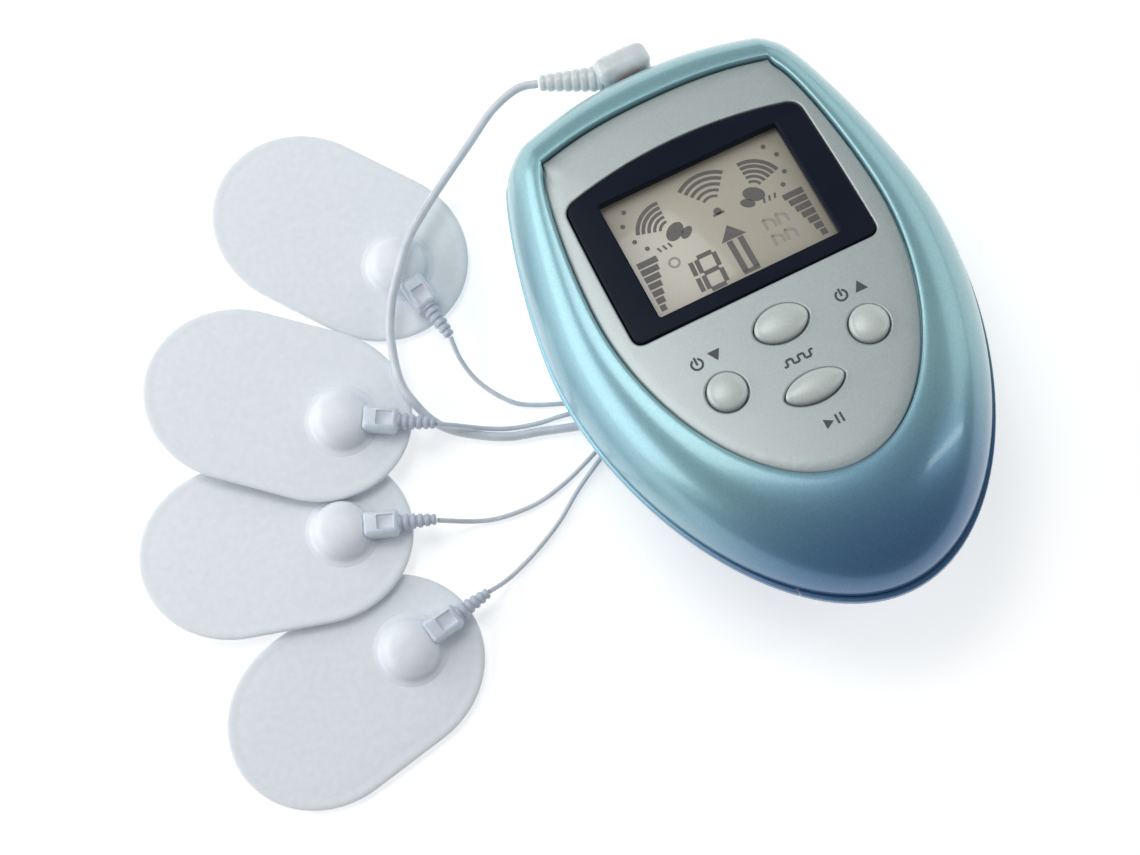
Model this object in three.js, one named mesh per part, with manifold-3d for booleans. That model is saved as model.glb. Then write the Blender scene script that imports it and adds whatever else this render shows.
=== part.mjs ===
// A four-pad TENS massager: hand controller, plug-in lead set and four adhesive pads.
// Millimetres, +Z up. The table is z = 0 and the origin is below the middle of the
// controller and its pads. The controller leans back on the coiled lead under its lower half.
import * as THREE from 'three';
import { mergeVertices } from 'three/addons/utils/BufferGeometryUtils.js';
import { RoundedBoxGeometry } from 'three/addons/geometries/RoundedBoxGeometry.js';
import Module from 'manifold-3d';

const wasm = await Module();
wasm.setup();

// ---------------------------------------------------------------- driving dimensions
const GAP = 0.3; // clearance between neighbouring pieces
const LAMINATE_GAP = 0.1; // clearance between the layers of a pad

// controller, in its own frame: back face at z = 0, plug end at +Y, face up
const CASE_PITCH = -10; // degrees about X: the lower end is raised
const CASE_PLACE = { x: 43.9, y: -12.7 };
const PARTING_Z = 9; // the two shells meet here
const RIM_Z = 23.4; // crest of the rim round the face plate
const WALL = 2;
const BACK_SCALE = { x: 0.79, y: 0.829 }; // the flat of the back, as a share of the outline
const LIP = 0.05; // how far the front shell's skirt stands back, as a share of its slope
const CASE_OUTLINE = {
  bottom: -61, bottomPull: 22, halfWidth: 41.2, widestY: 4.8, lowerPull: 32, upperPull: 13.2,
  shoulder: [31.5, 49.2], shoulderLean: [3.6, 7.3], corner: [24.9, 54.8], cornerPull: 1.9,
  top: 58.8, crownPull: 9.7,
};
const PLATE_OUTLINE = {
  bottom: -39, bottomPull: 17.4, halfWidth: 30.2, widestY: 8.7, lowerPull: 22.6, upperPull: 11.4,
  shoulder: [25.4, 42.1], shoulderLean: [2.4, 4.1], corner: [24.6, 44.5], cornerPull: 1.5,
  top: 47.6, crownPull: 8.5,
};
const OUTLINE_STEPS = [11, 7, 4, 5]; // points on each curve of half an outline

// face: plate, window, display and buttons
const PLATE_SEAT_Z = 20.6;
const PLATE_EDGE_Z = 21.9;
const PLATE_TOP_Z = 22.8;
const WINDOW = { top: 37.1, shoulderY: 33.3, bottom: 0.7, halfTop: 25.4, halfBottom: 25.9, corner: 2.4 };
const WINDOW_UNDER_Z = 21;
const LCD = { x: 0, y: 17.6, width: 43, height: 31, z: 17.4, thick: 2.8 };
const BUTTON_TOP_Z = 24.4;
const BUTTON_FLANGE_Z = 19.5;
const BUTTON_FLANGE = 0.9;
const BUTTONS = [
  { name: 'button_down', x: -14.9, y: -15.2, halfX: 3.8, halfY: 3.8, power: 2 },
  { name: 'button_up', x: 14.9, y: -15.2, halfX: 3.8, halfY: 3.8, power: 2 },
  { name: 'button_mode', x: 0.4, y: -7.5, halfX: 5.4, halfY: 3.6, power: 1.8 },
  { name: 'button_start_pause', x: 0, y: -21.8, halfX: 6, halfY: 2.9, power: 1.65 },
];

// inside the controller
const BOARD = { halfWidth: 23, bottom: -34, top: 41.6, z: 14.6, thick: 1.6 };
const KEYPAD_Z = 16.5;
const BAY = { halfWidth: 17, bottom: -42.8, top: 5.8, roofZ: 13.1, wall: 1.1 };
const DOOR = { halfWidth: 19, top: 6, floorZ: 2.3 };
const CELL = { radius: 5.25, length: 44.5, pitch: 11, bottom: -40.1, z: 7.6 }; // AAA
const SCREWS = [[-26.5, 34], [26.5, 34], [-27, -14], [27, -14]];

// plug and socket, 3.5 mm
const JACK = { x: 1.5, z: 11, collarRadius: 3.4, pinRadius: 1.75, pinLength: 14, faceY: 58.1 };
const PLUG_HEAD = { width: 11.5, depth: 5.8, height: 8.4, x: 0.75, y: 62 };
const PLUG_BOOT = {
  x: -3.5, y: 61.9, angle: 157, length: 12.9, bigRadius: 2.75, smallRadius: 1.6, ribs: 7,
};

// lead set
const TRUNK_DIAMETER = 1.8;
const LEAD_DIAMETER = 1;
const TRUNK_COIL = { x: 55, y: -40.1, inner: 8.5, outer: 12.5, height: 11 };
const LEAD_COIL = { x: 26.1, y: -18.2, inner: 3.8, outer: 8.25, height: 5.6 };
const SPLITTER = { x: 38.53, y: -31.25, angle: -65.8, length: 10.8, nose: 1.2, width: 5.2, height: 3.65 };

// pads
const PAD = { halfLength: 27, halfWidth: 17.5, endLength: 19, gel: 0.6, film: 0.9, gelInset: 0.8 };
const DOME = { offset: 13.2, radius: 6, height: 4.2, socketZ: 2.3, boreRadius: 1.3, boreStart: -2.6 };
const PIN = { radius: 1, start: -2.2, end: 10.6 };
const CONNECTOR = { start: 4.5, length: 6.8, width: 5, height: 3.8, bootLength: 7.2, ribs: 5 };
// a leaning pad lies on the edge of the next one: lift is the height of its +Y edge
const PADS = [
  { x: -20.8, y: 45.7, angle: -53.6, lift: 0, tilt: 0, pinAngle: -81 },
  { x: -46.6, y: 19.2, angle: -41.6, lift: 1.9, tilt: -3, pinAngle: -30 },
  { x: -58.6, y: -5.8, angle: -15.6, lift: 0, tilt: -3.9, pinAngle: -21 },
  { x: -56.9, y: -38.5, angle: 11.2, lift: 0, tilt: 0, pinAngle: 9.5 },
];

// routes of the lead set, from the plug or the connector to its coil
const TRUNK_ROUTE = [
  [28.2, 55.1, 7.9], [24.6, 56.1, 7.75], [18.2, 54.6, 7.4], [10, 49.9, 6.9], [2.4, 45.4, 6.7],
  [-3.4, 41.7, 6.9], [-9.3, 37.3, 7.3], [-13.4, 32.7, 7.4], [-15.4, 30.3, 7.1], [-17.3, 27.9, 6.5],
  [-20.3, 22.6, 5.7], [-21.6, 18.8, 5.3], [-22.7, 14.5, 5.1], [-23, 10.8, 5.1], [-22.4, 7.6, 4.9],
  [-20.9, 3.5, 3.4], [-18.5, 0.4, 1.9], [-14, -3, 1.1], [-8.3, -6.2, 1], [-2, -8.1, 1],
  [4.6, -10.3, 1.2], [9.6, -12, 2.6], [14.2, -13.6, 5], [18.4, -15.1, 6.6], [26, -17.8, 7],
  [34, -20.6, 7.8], [43, -23.8, 8.9], [52, -26.9, 9.7],
];
const LEAD_ROUTES = [
  [[-10.1, 16.5, 4], [-10.2, 12.3, 2.4], [-9.2, 7.6, 0.8], [-6.8, 2.8, 0.6], [-3.9, -0.7, 0.6],
    [-0.4, -2.8, 0.6], [3.1, -4.3, 0.6], [9, -6.9, 0.6], [15, -9.4, 0.6], [21.4, -10.6, 0.6]],
  [[-20.4, 1.1, 6.75], [-18.2, 0.2, 5.4], [-15.4, -1, 3.3], [-12, -2.6, 1.4], [-7.6, -4.6, 0.6],
    [-2, -6.2, 0.6], [3.8, -7.1, 0.6], [9.5, -8.9, 0.6], [14.8, -10.9, 0.6], [20, -11.65, 0.6]],
  [[-28.3, -16, 5.1], [-25.6, -17.1, 3.4], [-22.8, -18.2, 1.7], [-19.4, -19.4, 0.7], [-16, -20.2, 0.6],
    [-9.3, -20.6, 0.6], [-2.8, -19.4, 0.6], [4.4, -16.9, 0.6], [9.4, -14.8, 0.6],
    [14, -13.1, 0.6], [19, -12.7, 0.6]],
  [[-25.4, -32.8, 3.9], [-23, -32.3, 2.3], [-20.2, -31.5, 0.9], [-17, -30.4, 0.6], [-13.9, -29.2, 0.6],
    [-7.1, -25.9, 0.6], [-0.8, -21.7, 0.6], [5.2, -18.4, 0.6], [9.8, -16.1, 0.6],
    [14, -14.3, 0.6], [18.3, -13.8, 0.6]],
];
const TRUNK_STEPS = 30;
const LEAD_STEPS = 13;
const CORD_SIDES = 8;

// ---------------------------------------------------------------- materials
const finish = (color, roughness, metalness = 0) => (
  new THREE.MeshStandardMaterial({ color, roughness, metalness })
);
const MATERIALS = {
  shell: finish(0x7fbdd0, 0.3, 0.35),
  plate: finish(0xb9bec0, 0.42, 0.3),
  window: finish(0x14161c, 0.1),
  glass: finish(0xb6ab9c, 0.25),
  button: finish(0xd0d3d2, 0.28, 0.3),
  rubber: finish(0xd8dadd, 0.8),
  board: finish(0x2c6b3c, 0.6),
  chip: finish(0x1c1c1e, 0.6),
  frame: finish(0xe4e4e0, 0.6),
  metal: finish(0xc9c9c9, 0.3, 1),
  cell: finish(0x30343a, 0.4, 0.4),
  copper: finish(0xa9683a, 0.4, 0.8),
  cord: finish(0xdcdfe4, 0.5),
  connector: finish(0xe6e9f0, 0.35),
  pad: finish(0xe3e8f0, 0.55),
  gel: finish(0xdfe6ec, 0.2),
};

// ---------------------------------------------------------------- helpers
const degrees = THREE.MathUtils.degToRad;

function toSolid(geometry) {
  const bare = geometry.index ? geometry.toNonIndexed() : geometry.clone();
  bare.deleteAttribute('normal');
  bare.deleteAttribute('uv');
  const merged = mergeVertices(bare, 1e-4);
  return new wasm.Manifold(new wasm.Mesh({
    numProp: 3,
    vertProperties: new Float32Array(merged.attributes.position.array),
    triVerts: new Uint32Array(merged.index.array),
  }));
}

function toGeometry(solid) {
  const mesh = solid.getMesh();
  const geometry = new THREE.BufferGeometry();
  geometry.setAttribute('position', new THREE.BufferAttribute(mesh.vertProperties, 3));
  geometry.setIndex(new THREE.BufferAttribute(mesh.triVerts, 1));
  geometry.computeVertexNormals();
  return geometry;
}

function join(first, ...others) {
  return toGeometry(others.reduce((solid, other) => solid.add(toSolid(other)), toSolid(first)));
}

function cut(first, ...tools) {
  return toGeometry(tools.reduce((solid, tool) => solid.subtract(toSolid(tool)), toSolid(first)));
}

function common(first, second) {
  return toGeometry(toSolid(first).intersect(toSolid(second)));
}

// a box given by its two opposite corners
function block([x0, y0, z0], [x1, y1, z1]) {
  const box = new THREE.BoxGeometry(x1 - x0, y1 - y0, z1 - z0);
  return box.translate((x0 + x1) / 2, (y0 + y1) / 2, (z0 + z1) / 2);
}

// an upright cylinder
function post(radius, x, y, z0, z1, sides = 16) {
  const cylinder = new THREE.CylinderGeometry(radius, radius, z1 - z0, sides);
  return cylinder.rotateX(Math.PI / 2).translate(x, y, (z0 + z1) / 2);
}

// a cylinder along X, from x0 to x1
function rod(radius, x0, x1, sides = 14) {
  const cylinder = new THREE.CylinderGeometry(radius, radius, x1 - x0, sides);
  return cylinder.rotateZ(Math.PI / 2).translate((x0 + x1) / 2, 0, 0);
}

// a turned piece along +X: profile points are [distance along X, radius]
function turnedAlongX(profile, sides = 16) {
  const points = profile.map(([along, radius]) => new THREE.Vector2(radius, along));
  return new THREE.LatheGeometry(points, sides).rotateZ(-Math.PI / 2);
}

// a ribbed, tapering boot along +X
function ribbedProfile(length, bigRadius, smallRadius, ribs) {
  const profile = [[0, 0], [0, bigRadius]];
  const ribPitch = length / (ribs + 0.5);
  for (let rib = 0; rib < ribs; rib += 1) {
    const groove = (rib + 0.5) * ribPitch;
    const radius = THREE.MathUtils.lerp(bigRadius, smallRadius, groove / length);
    const depth = 0.16 * radius;
    profile.push([groove, radius], [groove + 0.1 * ribPitch, radius - depth]);
    profile.push([groove + 0.4 * ribPitch, radius - depth], [groove + 0.5 * ribPitch, radius]);
  }
  profile.push([length, smallRadius], [length, 0]);
  return profile;
}

// a closed outline, anticlockwise from its lowest point, symmetrical about the Y axis
function eggOutline(form) {
  const [sx, sy] = form.shoulder;
  const [leanX, leanY] = form.shoulderLean;
  const [cx, cy] = form.corner;
  const point = (x, y) => new THREE.Vector2(x, y);
  const curves = [
    new THREE.CubicBezierCurve(
      point(0, form.bottom), point(form.bottomPull, form.bottom),
      point(form.halfWidth, form.widestY - form.lowerPull), point(form.halfWidth, form.widestY)),
    new THREE.CubicBezierCurve(
      point(form.halfWidth, form.widestY), point(form.halfWidth, form.widestY + form.upperPull),
      point(sx + leanX, sy - leanY), point(sx, sy)),
    new THREE.CubicBezierCurve(
      point(sx, sy), point(sx - leanX / 4, sy + leanY / 4),
      point(cx + form.cornerPull, cy - form.cornerPull * 0.3), point(cx, cy)),
    new THREE.CubicBezierCurve(
      point(cx, cy), point(cx - form.crownPull, cy + form.crownPull * 0.3),
      point(form.crownPull, form.top), point(0, form.top)),
  ];
  const right = [];
  curves.forEach((curve, i) => right.push(...curve.getPoints(OUTLINE_STEPS[i]).slice(0, -1)));
  const left = right.slice(1).map(({ x, y }) => point(-x, y)).reverse();
  return [...right, point(0, form.top), ...left];
}

// moves every point of a closed outline inwards
function inset(outline, distance) {
  const count = outline.length;
  return outline.map((here, i) => {
    const before = outline[(i + count - 1) % count];
    const after = outline[(i + 1) % count];
    const along = after.clone().sub(before).normalize();
    return new THREE.Vector2(here.x - along.y * distance, here.y + along.x * distance);
  });
}

// an outline made smaller about a point on the Y axis
const scaled = (outline, shareX, shareY, middleY = 0) => (
  outline.map(({ x, y }) => new THREE.Vector2(x * shareX, middleY + (y - middleY) * shareY))
);

const blendOutlines = (first, second, share) => (
  first.map((here, i) => here.clone().lerp(second[i], share))
);

// a closed skin over a stack of outlines with equal numbers of points, lowest first
function loft(rings) {
  const count = rings[0].outline.length;
  const positions = [];
  rings.forEach(({ outline, z }) => outline.forEach(({ x, y }) => positions.push(x, y, z)));
  const indices = [];
  for (let ring = 0; ring < rings.length - 1; ring += 1) {
    for (let i = 0; i < count; i += 1) {
      const a = ring * count + i;
      const b = ring * count + ((i + 1) % count);
      indices.push(a, b, b + count, a, b + count, a + count);
    }
  }
  const top = (rings.length - 1) * count;
  THREE.ShapeUtils.triangulateShape(rings[0].outline, []).forEach(([a, b, c]) => {
    indices.push(a, c, b);
  });
  THREE.ShapeUtils.triangulateShape(rings.at(-1).outline, []).forEach(([a, b, c]) => {
    indices.push(top + a, top + b, top + c);
  });
  const geometry = new THREE.BufferGeometry();
  geometry.setAttribute('position', new THREE.Float32BufferAttribute(positions, 3));
  geometry.setIndex(indices);
  geometry.computeVertexNormals();
  return geometry;
}

const prism = (outline, z0, z1) => loft([{ outline, z: z0 }, { outline, z: z1 }]);

// a rounded oval: power 2 is an ellipse, lower powers have pointed ends
function oval(halfX, halfY, power, count = 28) {
  return Array.from({ length: count }, (_, i) => {
    const turn = (i / count) * 2 * Math.PI;
    const bulge = (value) => Math.sign(value) * Math.abs(value) ** (2 / power);
    return new THREE.Vector2(halfX * Math.cos(turn), halfY * bulge(Math.sin(turn)));
  });
}

const moved = (outline, x, y) => outline.map((point) => new THREE.Vector2(point.x + x, point.y + y));

// a closed tube along a smooth curve through a route's points
function cordTube(route, diameter, steps) {
  const points = route.map((point) => new THREE.Vector3(...point));
  const path = new THREE.CatmullRomCurve3(points, false, 'centripetal');
  const section = new THREE.Shape(
    Array.from({ length: CORD_SIDES }, (_, i) => {
      const turn = ((i + 0.5) / CORD_SIDES) * 2 * Math.PI;
      return new THREE.Vector2((diameter / 2) * Math.cos(turn), (diameter / 2) * Math.sin(turn));
    }));
  return new THREE.ExtrudeGeometry(section, { steps, extrudePath: path, bevelEnabled: false });
}

// the outer shape of a round coil lying on the table
function coilRing({ x, y, inner, outer, height }) {
  const low = 0.05;
  const soft = 0.6;
  const profile = [
    [inner, low + soft], [inner + soft, low], [outer - soft, low], [outer, low + soft],
    [outer, height - soft], [outer - soft, height], [inner + soft, height], [inner, height - soft],
    [inner, low + soft],
  ].map(([radius, z]) => new THREE.Vector2(radius, z));
  return new THREE.LatheGeometry(profile, 32).rotateX(Math.PI / 2).translate(x, y, 0);
}

function addPart(group, name, geometry, material) {
  const mesh = new THREE.Mesh(geometry, material);
  mesh.name = name;
  group.add(mesh);
  return mesh;
}

// ---------------------------------------------------------------- controller shells
const caseOutline = eggOutline(CASE_OUTLINE);
const plateOutline = eggOutline(PLATE_OUTLINE);
const backOutline = scaled(caseOutline, BACK_SCALE.x, BACK_SCALE.y);

// how far towards the face plate, and how high, the front shell's skin is at a turn from 0 to 1
const frontSkin = (turn, height) => {
  const angle = turn * (Math.PI / 2);
  return { share: LIP + (1 - LIP) * (1 - Math.cos(angle)), z: PARTING_Z + height * Math.sin(angle) };
};

function jackHole(radius) {
  const hole = rod(radius, 50, 70, 20).rotateZ(Math.PI / 2);
  return hole.translate(JACK.x, 0, JACK.z);
}

function frontShell() {
  const turns = [0, 0.18, 0.36, 0.54, 0.72, 0.88, 1];
  const skirtZ = PARTING_Z + GAP / 2;
  const outer = loft([
    { outline: blendOutlines(caseOutline, plateOutline, LIP), z: PARTING_Z - 1 },
    ...turns.map((turn) => {
      const { share, z } = frontSkin(turn, RIM_Z - PARTING_Z);
      return { outline: blendOutlines(caseOutline, plateOutline, share), z };
    }),
  ]);
  const cavity = loft([
    { outline: inset(blendOutlines(caseOutline, plateOutline, LIP), WALL), z: PARTING_Z - 2 },
    ...[0, 0.25, 0.5, 0.72, 0.88].map((turn) => {
      const { share, z } = frontSkin(turn, PLATE_SEAT_Z - WALL - PARTING_Z);
      return { outline: inset(blendOutlines(caseOutline, plateOutline, share), WALL), z };
    }),
  ]);
  const recess = prism(inset(plateOutline, 0), PLATE_SEAT_Z, RIM_Z + 2);
  const opening = prism(scaled(plateOutline, 0.91, 0.93, 4), PARTING_Z, RIM_Z + 2);
  const hollow = cut(outer, cavity, recess, opening, block([-60, -80, 0], [60, 80, skirtZ]));
  const bosses = SCREWS.map(([x, y]) => post(2.8, x, y, skirtZ, PLATE_SEAT_Z - 1));
  const pilots = SCREWS.map(([x, y]) => post(1.4, x, y, 0, 17, 10));
  return cut(join(hollow, ...bosses), ...pilots, jackHole(JACK.collarRadius + GAP));
}

// the rear shell's outer skin: share of the way in to the flat of the back, and height
const REAR_SKIN = [[1, 0], [0.73, 0.7], [0.45, 2.1], [0.2, 4.1], [0.05, 6.3], [0, 7.4]];

function rearSolid() {
  const rimZ = PARTING_Z - GAP / 2;
  const skin = REAR_SKIN.map(([share, z]) => (
    { outline: blendOutlines(caseOutline, backOutline, share), z }
  ));
  const outer = loft([...skin, { outline: caseOutline, z: rimZ }]);
  const inner = skin.map(({ outline, z }) => ({ outline: inset(outline, WALL), z: z + WALL }));
  const cavity = loft([...inner, { outline: inset(caseOutline, WALL), z: PARTING_Z + 2 }]);
  return cut(outer, cavity);
}

const doorRegion = (clearance) => block(
  [-DOOR.halfWidth - clearance, -80, -5],
  [DOOR.halfWidth + clearance, DOOR.top + clearance, PARTING_Z + 5]);

function batteryDoor(rear) {
  return common(rear, doorRegion(0));
}

// the box that holds the cells, open towards the door, with a flange joined to the floor
function batteryTray() {
  const { halfWidth, bottom, top, roofZ, wall } = BAY;
  const tray = cut(
    block([-halfWidth - wall, bottom - wall, DOOR.floorZ], [halfWidth + wall, top + wall, roofZ + wall]),
    block([-halfWidth, bottom, DOOR.floorZ - 2], [halfWidth, top, roofZ]),
    block([-halfWidth - 5, bottom - 5, 0], [halfWidth + 5, bottom + 5, DOOR.floorZ + 2.7]));
  const flangeOut = halfWidth + 5.8;
  const flangeTop = DOOR.floorZ + 1.2;
  const sides = [-1, 1].map((side) => {
    const edges = [side * (halfWidth + 0.2), side * flangeOut].sort((a, b) => a - b);
    return block([edges[0], bottom + 6, DOOR.floorZ], [edges[1], top + wall, flangeTop]);
  });
  const feet = [-1, 1].map((side) => {
    const edges = [side * (DOOR.halfWidth + 0.6), side * flangeOut].sort((a, b) => a - b);
    return block([edges[0], bottom + 6, 1], [edges[1], top + wall, flangeTop]);
  });
  const bridge = block([-halfWidth, DOOR.top + 0.8, 1], [halfWidth, DOOR.top + 4, flangeTop]);
  return join(tray, ...sides, ...feet, bridge);
}

function rearShell(rear) {
  const bossTop = PARTING_Z - GAP / 2;
  const bosses = SCREWS.map(([x, y]) => post(3.4, x, y, 1, bossTop));
  const counterbores = SCREWS.map(([x, y]) => post(2.5, x, y, -3, 4));
  const through = SCREWS.map(([x, y]) => post(1.4, x, y, 0, bossTop + 1, 10));
  const shell = join(cut(rear, doorRegion(GAP)), batteryTray(), ...bosses);
  return cut(shell, ...counterbores, ...through, jackHole(JACK.collarRadius + GAP));
}

function caseScrew(x, y) {
  return join(post(2.15, x, y, 2.3, 3.7), post(1.1, x, y, 3.5, 16, 10));
}

// ---------------------------------------------------------------- face
// the window's outline: straight sides and foot, rounded corners and a bowed top
function windowOutline() {
  const { top, shoulderY, bottom, halfTop, halfBottom, corner } = WINDOW;
  const shape = new THREE.Shape();
  shape.moveTo(-halfBottom + corner, bottom);
  shape.lineTo(halfBottom - corner, bottom);
  shape.quadraticCurveTo(halfBottom, bottom, halfBottom, bottom + corner);
  shape.lineTo(halfTop, shoulderY - corner);
  shape.quadraticCurveTo(halfTop, shoulderY, halfTop - corner, shoulderY + corner * 0.35);
  shape.quadraticCurveTo(0, 2 * top - shoulderY - corner * 0.35, -halfTop + corner, shoulderY + corner * 0.35);
  shape.quadraticCurveTo(-halfTop, shoulderY, -halfTop, shoulderY - corner);
  shape.lineTo(-halfBottom, bottom + corner);
  shape.quadraticCurveTo(-halfBottom, bottom, -halfBottom + corner, bottom);
  return shape.getPoints(6).slice(0, -1);
}

function facePlate() {
  const outline = inset(plateOutline, GAP);
  const crown = [[1, PLATE_EDGE_Z], [0.975, 22.4], [0.9, 22.7], [0.75, PLATE_TOP_Z]];
  const slab = loft([
    { outline, z: PLATE_SEAT_Z + GAP },
    ...crown.map(([share, z]) => ({ outline: scaled(outline, share, share, 4), z })),
  ]);
  const holes = BUTTONS.map(({ x, y, halfX, halfY, power }) => (
    prism(moved(oval(halfX + GAP, halfY + GAP, power), x, y), PLATE_SEAT_Z - 2, RIM_Z + 2)
  ));
  return cut(slab, prism(windowOutline(), PLATE_SEAT_Z - 2, RIM_Z + 2), ...holes);
}

function displayWindow() {
  const edge = windowOutline();
  return loft([
    { outline: inset(edge, GAP), z: WINDOW_UNDER_Z },
    { outline: inset(edge, GAP), z: PLATE_TOP_Z - 0.25 },
    { outline: inset(edge, GAP + 0.3), z: PLATE_TOP_Z + 0.05 },
  ]);
}

function button({ x, y, halfX, halfY, power }) {
  const ring = (grow, z) => ({ outline: moved(oval(halfX + grow, halfY + grow, power), x, y), z });
  const flangeTop = PLATE_SEAT_Z - 0.1;
  return loft([
    ring(BUTTON_FLANGE, BUTTON_FLANGE_Z), ring(BUTTON_FLANGE, flangeTop), ring(0, flangeTop + 0.05),
    ring(0, PLATE_TOP_Z + 0.5), ring(-0.35, BUTTON_TOP_Z - 0.65), ring(-1.1, BUTTON_TOP_Z - 0.2),
    ring(-2.2, BUTTON_TOP_Z),
  ]);
}

function lcdFrame() {
  const { x, y, width, height, z, thick } = LCD;
  const low = BOARD.z + BOARD.thick + GAP;
  const ring = (grow, z0, z1) => block(
    [x - width / 2 - grow, y - height / 2 - grow, z0], [x + width / 2 + grow, y + height / 2 + grow, z1]);
  return cut(ring(1.5, low, z + thick - 0.6), ring(GAP, low - 1, z + thick + 1));
}

// ---------------------------------------------------------------- electronics
function mainBoard() {
  const { halfWidth, bottom, top, z, thick } = BOARD;
  const chamfer = 8;
  const outline = [
    [-halfWidth + chamfer, bottom], [halfWidth - chamfer, bottom], [halfWidth, bottom + chamfer],
    [halfWidth, top - 3], [halfWidth - 3, top], [-halfWidth + 3, top], [-halfWidth, top - 3],
    [-halfWidth, bottom + chamfer],
  ].map(([x, y]) => new THREE.Vector2(x, y));
  return prism(outline, z, z + thick);
}

// one sheet with a raised key under each button
function rubberKeypad() {
  const keyTop = BUTTON_FLANGE_Z - 0.9;
  const sheet = block([-20, -27, KEYPAD_Z], [20, -3, KEYPAD_Z + 0.9]);
  const keys = BUTTONS.map(({ x, y }) => post(2.4, x, y, KEYPAD_Z + 0.5, keyTop, 14));
  return join(sheet, ...keys);
}

function batteryCell(x) {
  const { radius, length, z } = CELL;
  const nub = 0.8;
  const profile = [
    [0, 0], [0, radius - 0.4], [0.4, radius], [length - nub - 0.4, radius],
    [length - nub, radius - 0.4], [length - nub, 1.9], [length, 1.7], [length, 0],
  ];
  return turnedAlongX(profile, 20).rotateZ(Math.PI / 2).translate(x, CELL.bottom, z);
}

// a plate across the bay's lower end with a cone spring for each cell
function batterySprings() {
  const plate = block([-16.4, BAY.bottom + 0.3, 3], [16.4, BAY.bottom + 0.9, 12.2]);
  const cones = [-1, 0, 1].map((side) => {
    const cone = turnedAlongX([[0, 0], [0, 3.4], [1.6, 1.8], [1.6, 0]], 14).rotateZ(Math.PI / 2);
    return cone.translate(side * CELL.pitch, BAY.bottom + 0.8, CELL.z);
  });
  return join(plate, ...cones);
}

function jackSocket() {
  const body = block([JACK.x - 4.5, 42.2, JACK.z - 4], [JACK.x + 4.5, 52.5, JACK.z + 4]);
  const collar = rod(JACK.collarRadius, 52, JACK.faceY, 20).rotateZ(Math.PI / 2);
  const bore = rod(JACK.pinRadius + GAP, 44, 70, 16).rotateZ(Math.PI / 2);
  return cut(join(body, collar.translate(JACK.x, 0, JACK.z)), bore.translate(JACK.x, 0, JACK.z));
}

// an E-core with its winding
function transformer() {
  const core = block([-19.5, 17, 5.6], [-6.5, 27, 14.2]);
  const winding = block([-17.5, 15.4, 7.2], [-8.5, 28.6, 12.6]);
  return join(core, winding);
}

// ---------------------------------------------------------------- controller assembly
const controller = new THREE.Group();
controller.rotation.x = degrees(CASE_PITCH);
const flatTopY = CASE_OUTLINE.top * BACK_SCALE.y;
controller.position.set(CASE_PLACE.x, CASE_PLACE.y, flatTopY * Math.sin(degrees(-CASE_PITCH)));

const rear = rearSolid();
addPart(controller, 'front_shell', frontShell(), MATERIALS.shell);
addPart(controller, 'rear_shell', rearShell(rear), MATERIALS.shell);
addPart(controller, 'battery_door', batteryDoor(rear), MATERIALS.shell);
addPart(controller, 'face_plate', facePlate(), MATERIALS.plate);
addPart(controller, 'display_window', displayWindow(), MATERIALS.window);
BUTTONS.forEach((form) => addPart(controller, form.name, button(form), MATERIALS.button));
SCREWS.forEach(([x, y], i) => {
  addPart(controller, `case_screw_${i + 1}`, caseScrew(x, y), MATERIALS.metal);
});

const lcdSolid = block(
  [LCD.x - LCD.width / 2, LCD.y - LCD.height / 2, LCD.z],
  [LCD.x + LCD.width / 2, LCD.y + LCD.height / 2, LCD.z + LCD.thick]);
const zebraSolid = block(
  [-18, LCD.y - LCD.height / 2 + 0.3, BOARD.z + BOARD.thick + 0.2],
  [18, LCD.y - LCD.height / 2 + 2.3, LCD.z - 0.2]);
addPart(controller, 'lcd_panel', lcdSolid, MATERIALS.glass);
addPart(controller, 'lcd_frame', lcdFrame(), MATERIALS.frame);
addPart(controller, 'zebra_strip', zebraSolid, MATERIALS.rubber);
addPart(controller, 'main_board', mainBoard(), MATERIALS.board);
addPart(controller, 'rubber_keypad', rubberKeypad(), MATERIALS.rubber);
[-1, 0, 1].forEach((side, i) => {
  addPart(controller, `battery_${i + 1}`, batteryCell(side * CELL.pitch), MATERIALS.cell);
});
addPart(controller, 'battery_springs', batterySprings(), MATERIALS.metal);
addPart(controller, 'battery_plate', block([-16.4, 4.7, 3], [16.4, 5.3, 12.2]), MATERIALS.metal);
addPart(controller, 'jack_socket', jackSocket(), MATERIALS.chip);
addPart(controller, 'transformer', transformer(), MATERIALS.copper);
addPart(controller, 'driver_chip', block([-4, 20, 12.6], [6, 30, 14.3]), MATERIALS.chip);
addPart(controller, 'capacitor', post(3.2, 17.5, 14, 7.2, 14.3, 18), MATERIALS.cell);
addPart(controller, 'buzzer', post(6, 14, 30, 8.6, 14.3, 24), MATERIALS.chip);

// ---------------------------------------------------------------- plug, in the controller's frame
const plug = new THREE.Group();
plug.rotation.copy(controller.rotation);
plug.position.copy(controller.position);

function plugBody() {
  const { width, depth, height, x, y } = PLUG_HEAD;
  const head = new RoundedBoxGeometry(width, depth, height, 2, 2).translate(x, y, JACK.z);
  const { angle, length, bigRadius, smallRadius, ribs } = PLUG_BOOT;
  const profile = ribbedProfile(length, bigRadius, smallRadius, ribs);
  const boot = turnedAlongX(profile, 14).rotateZ(degrees(angle));
  return join(head, boot.translate(PLUG_BOOT.x, PLUG_BOOT.y, JACK.z));
}

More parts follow.
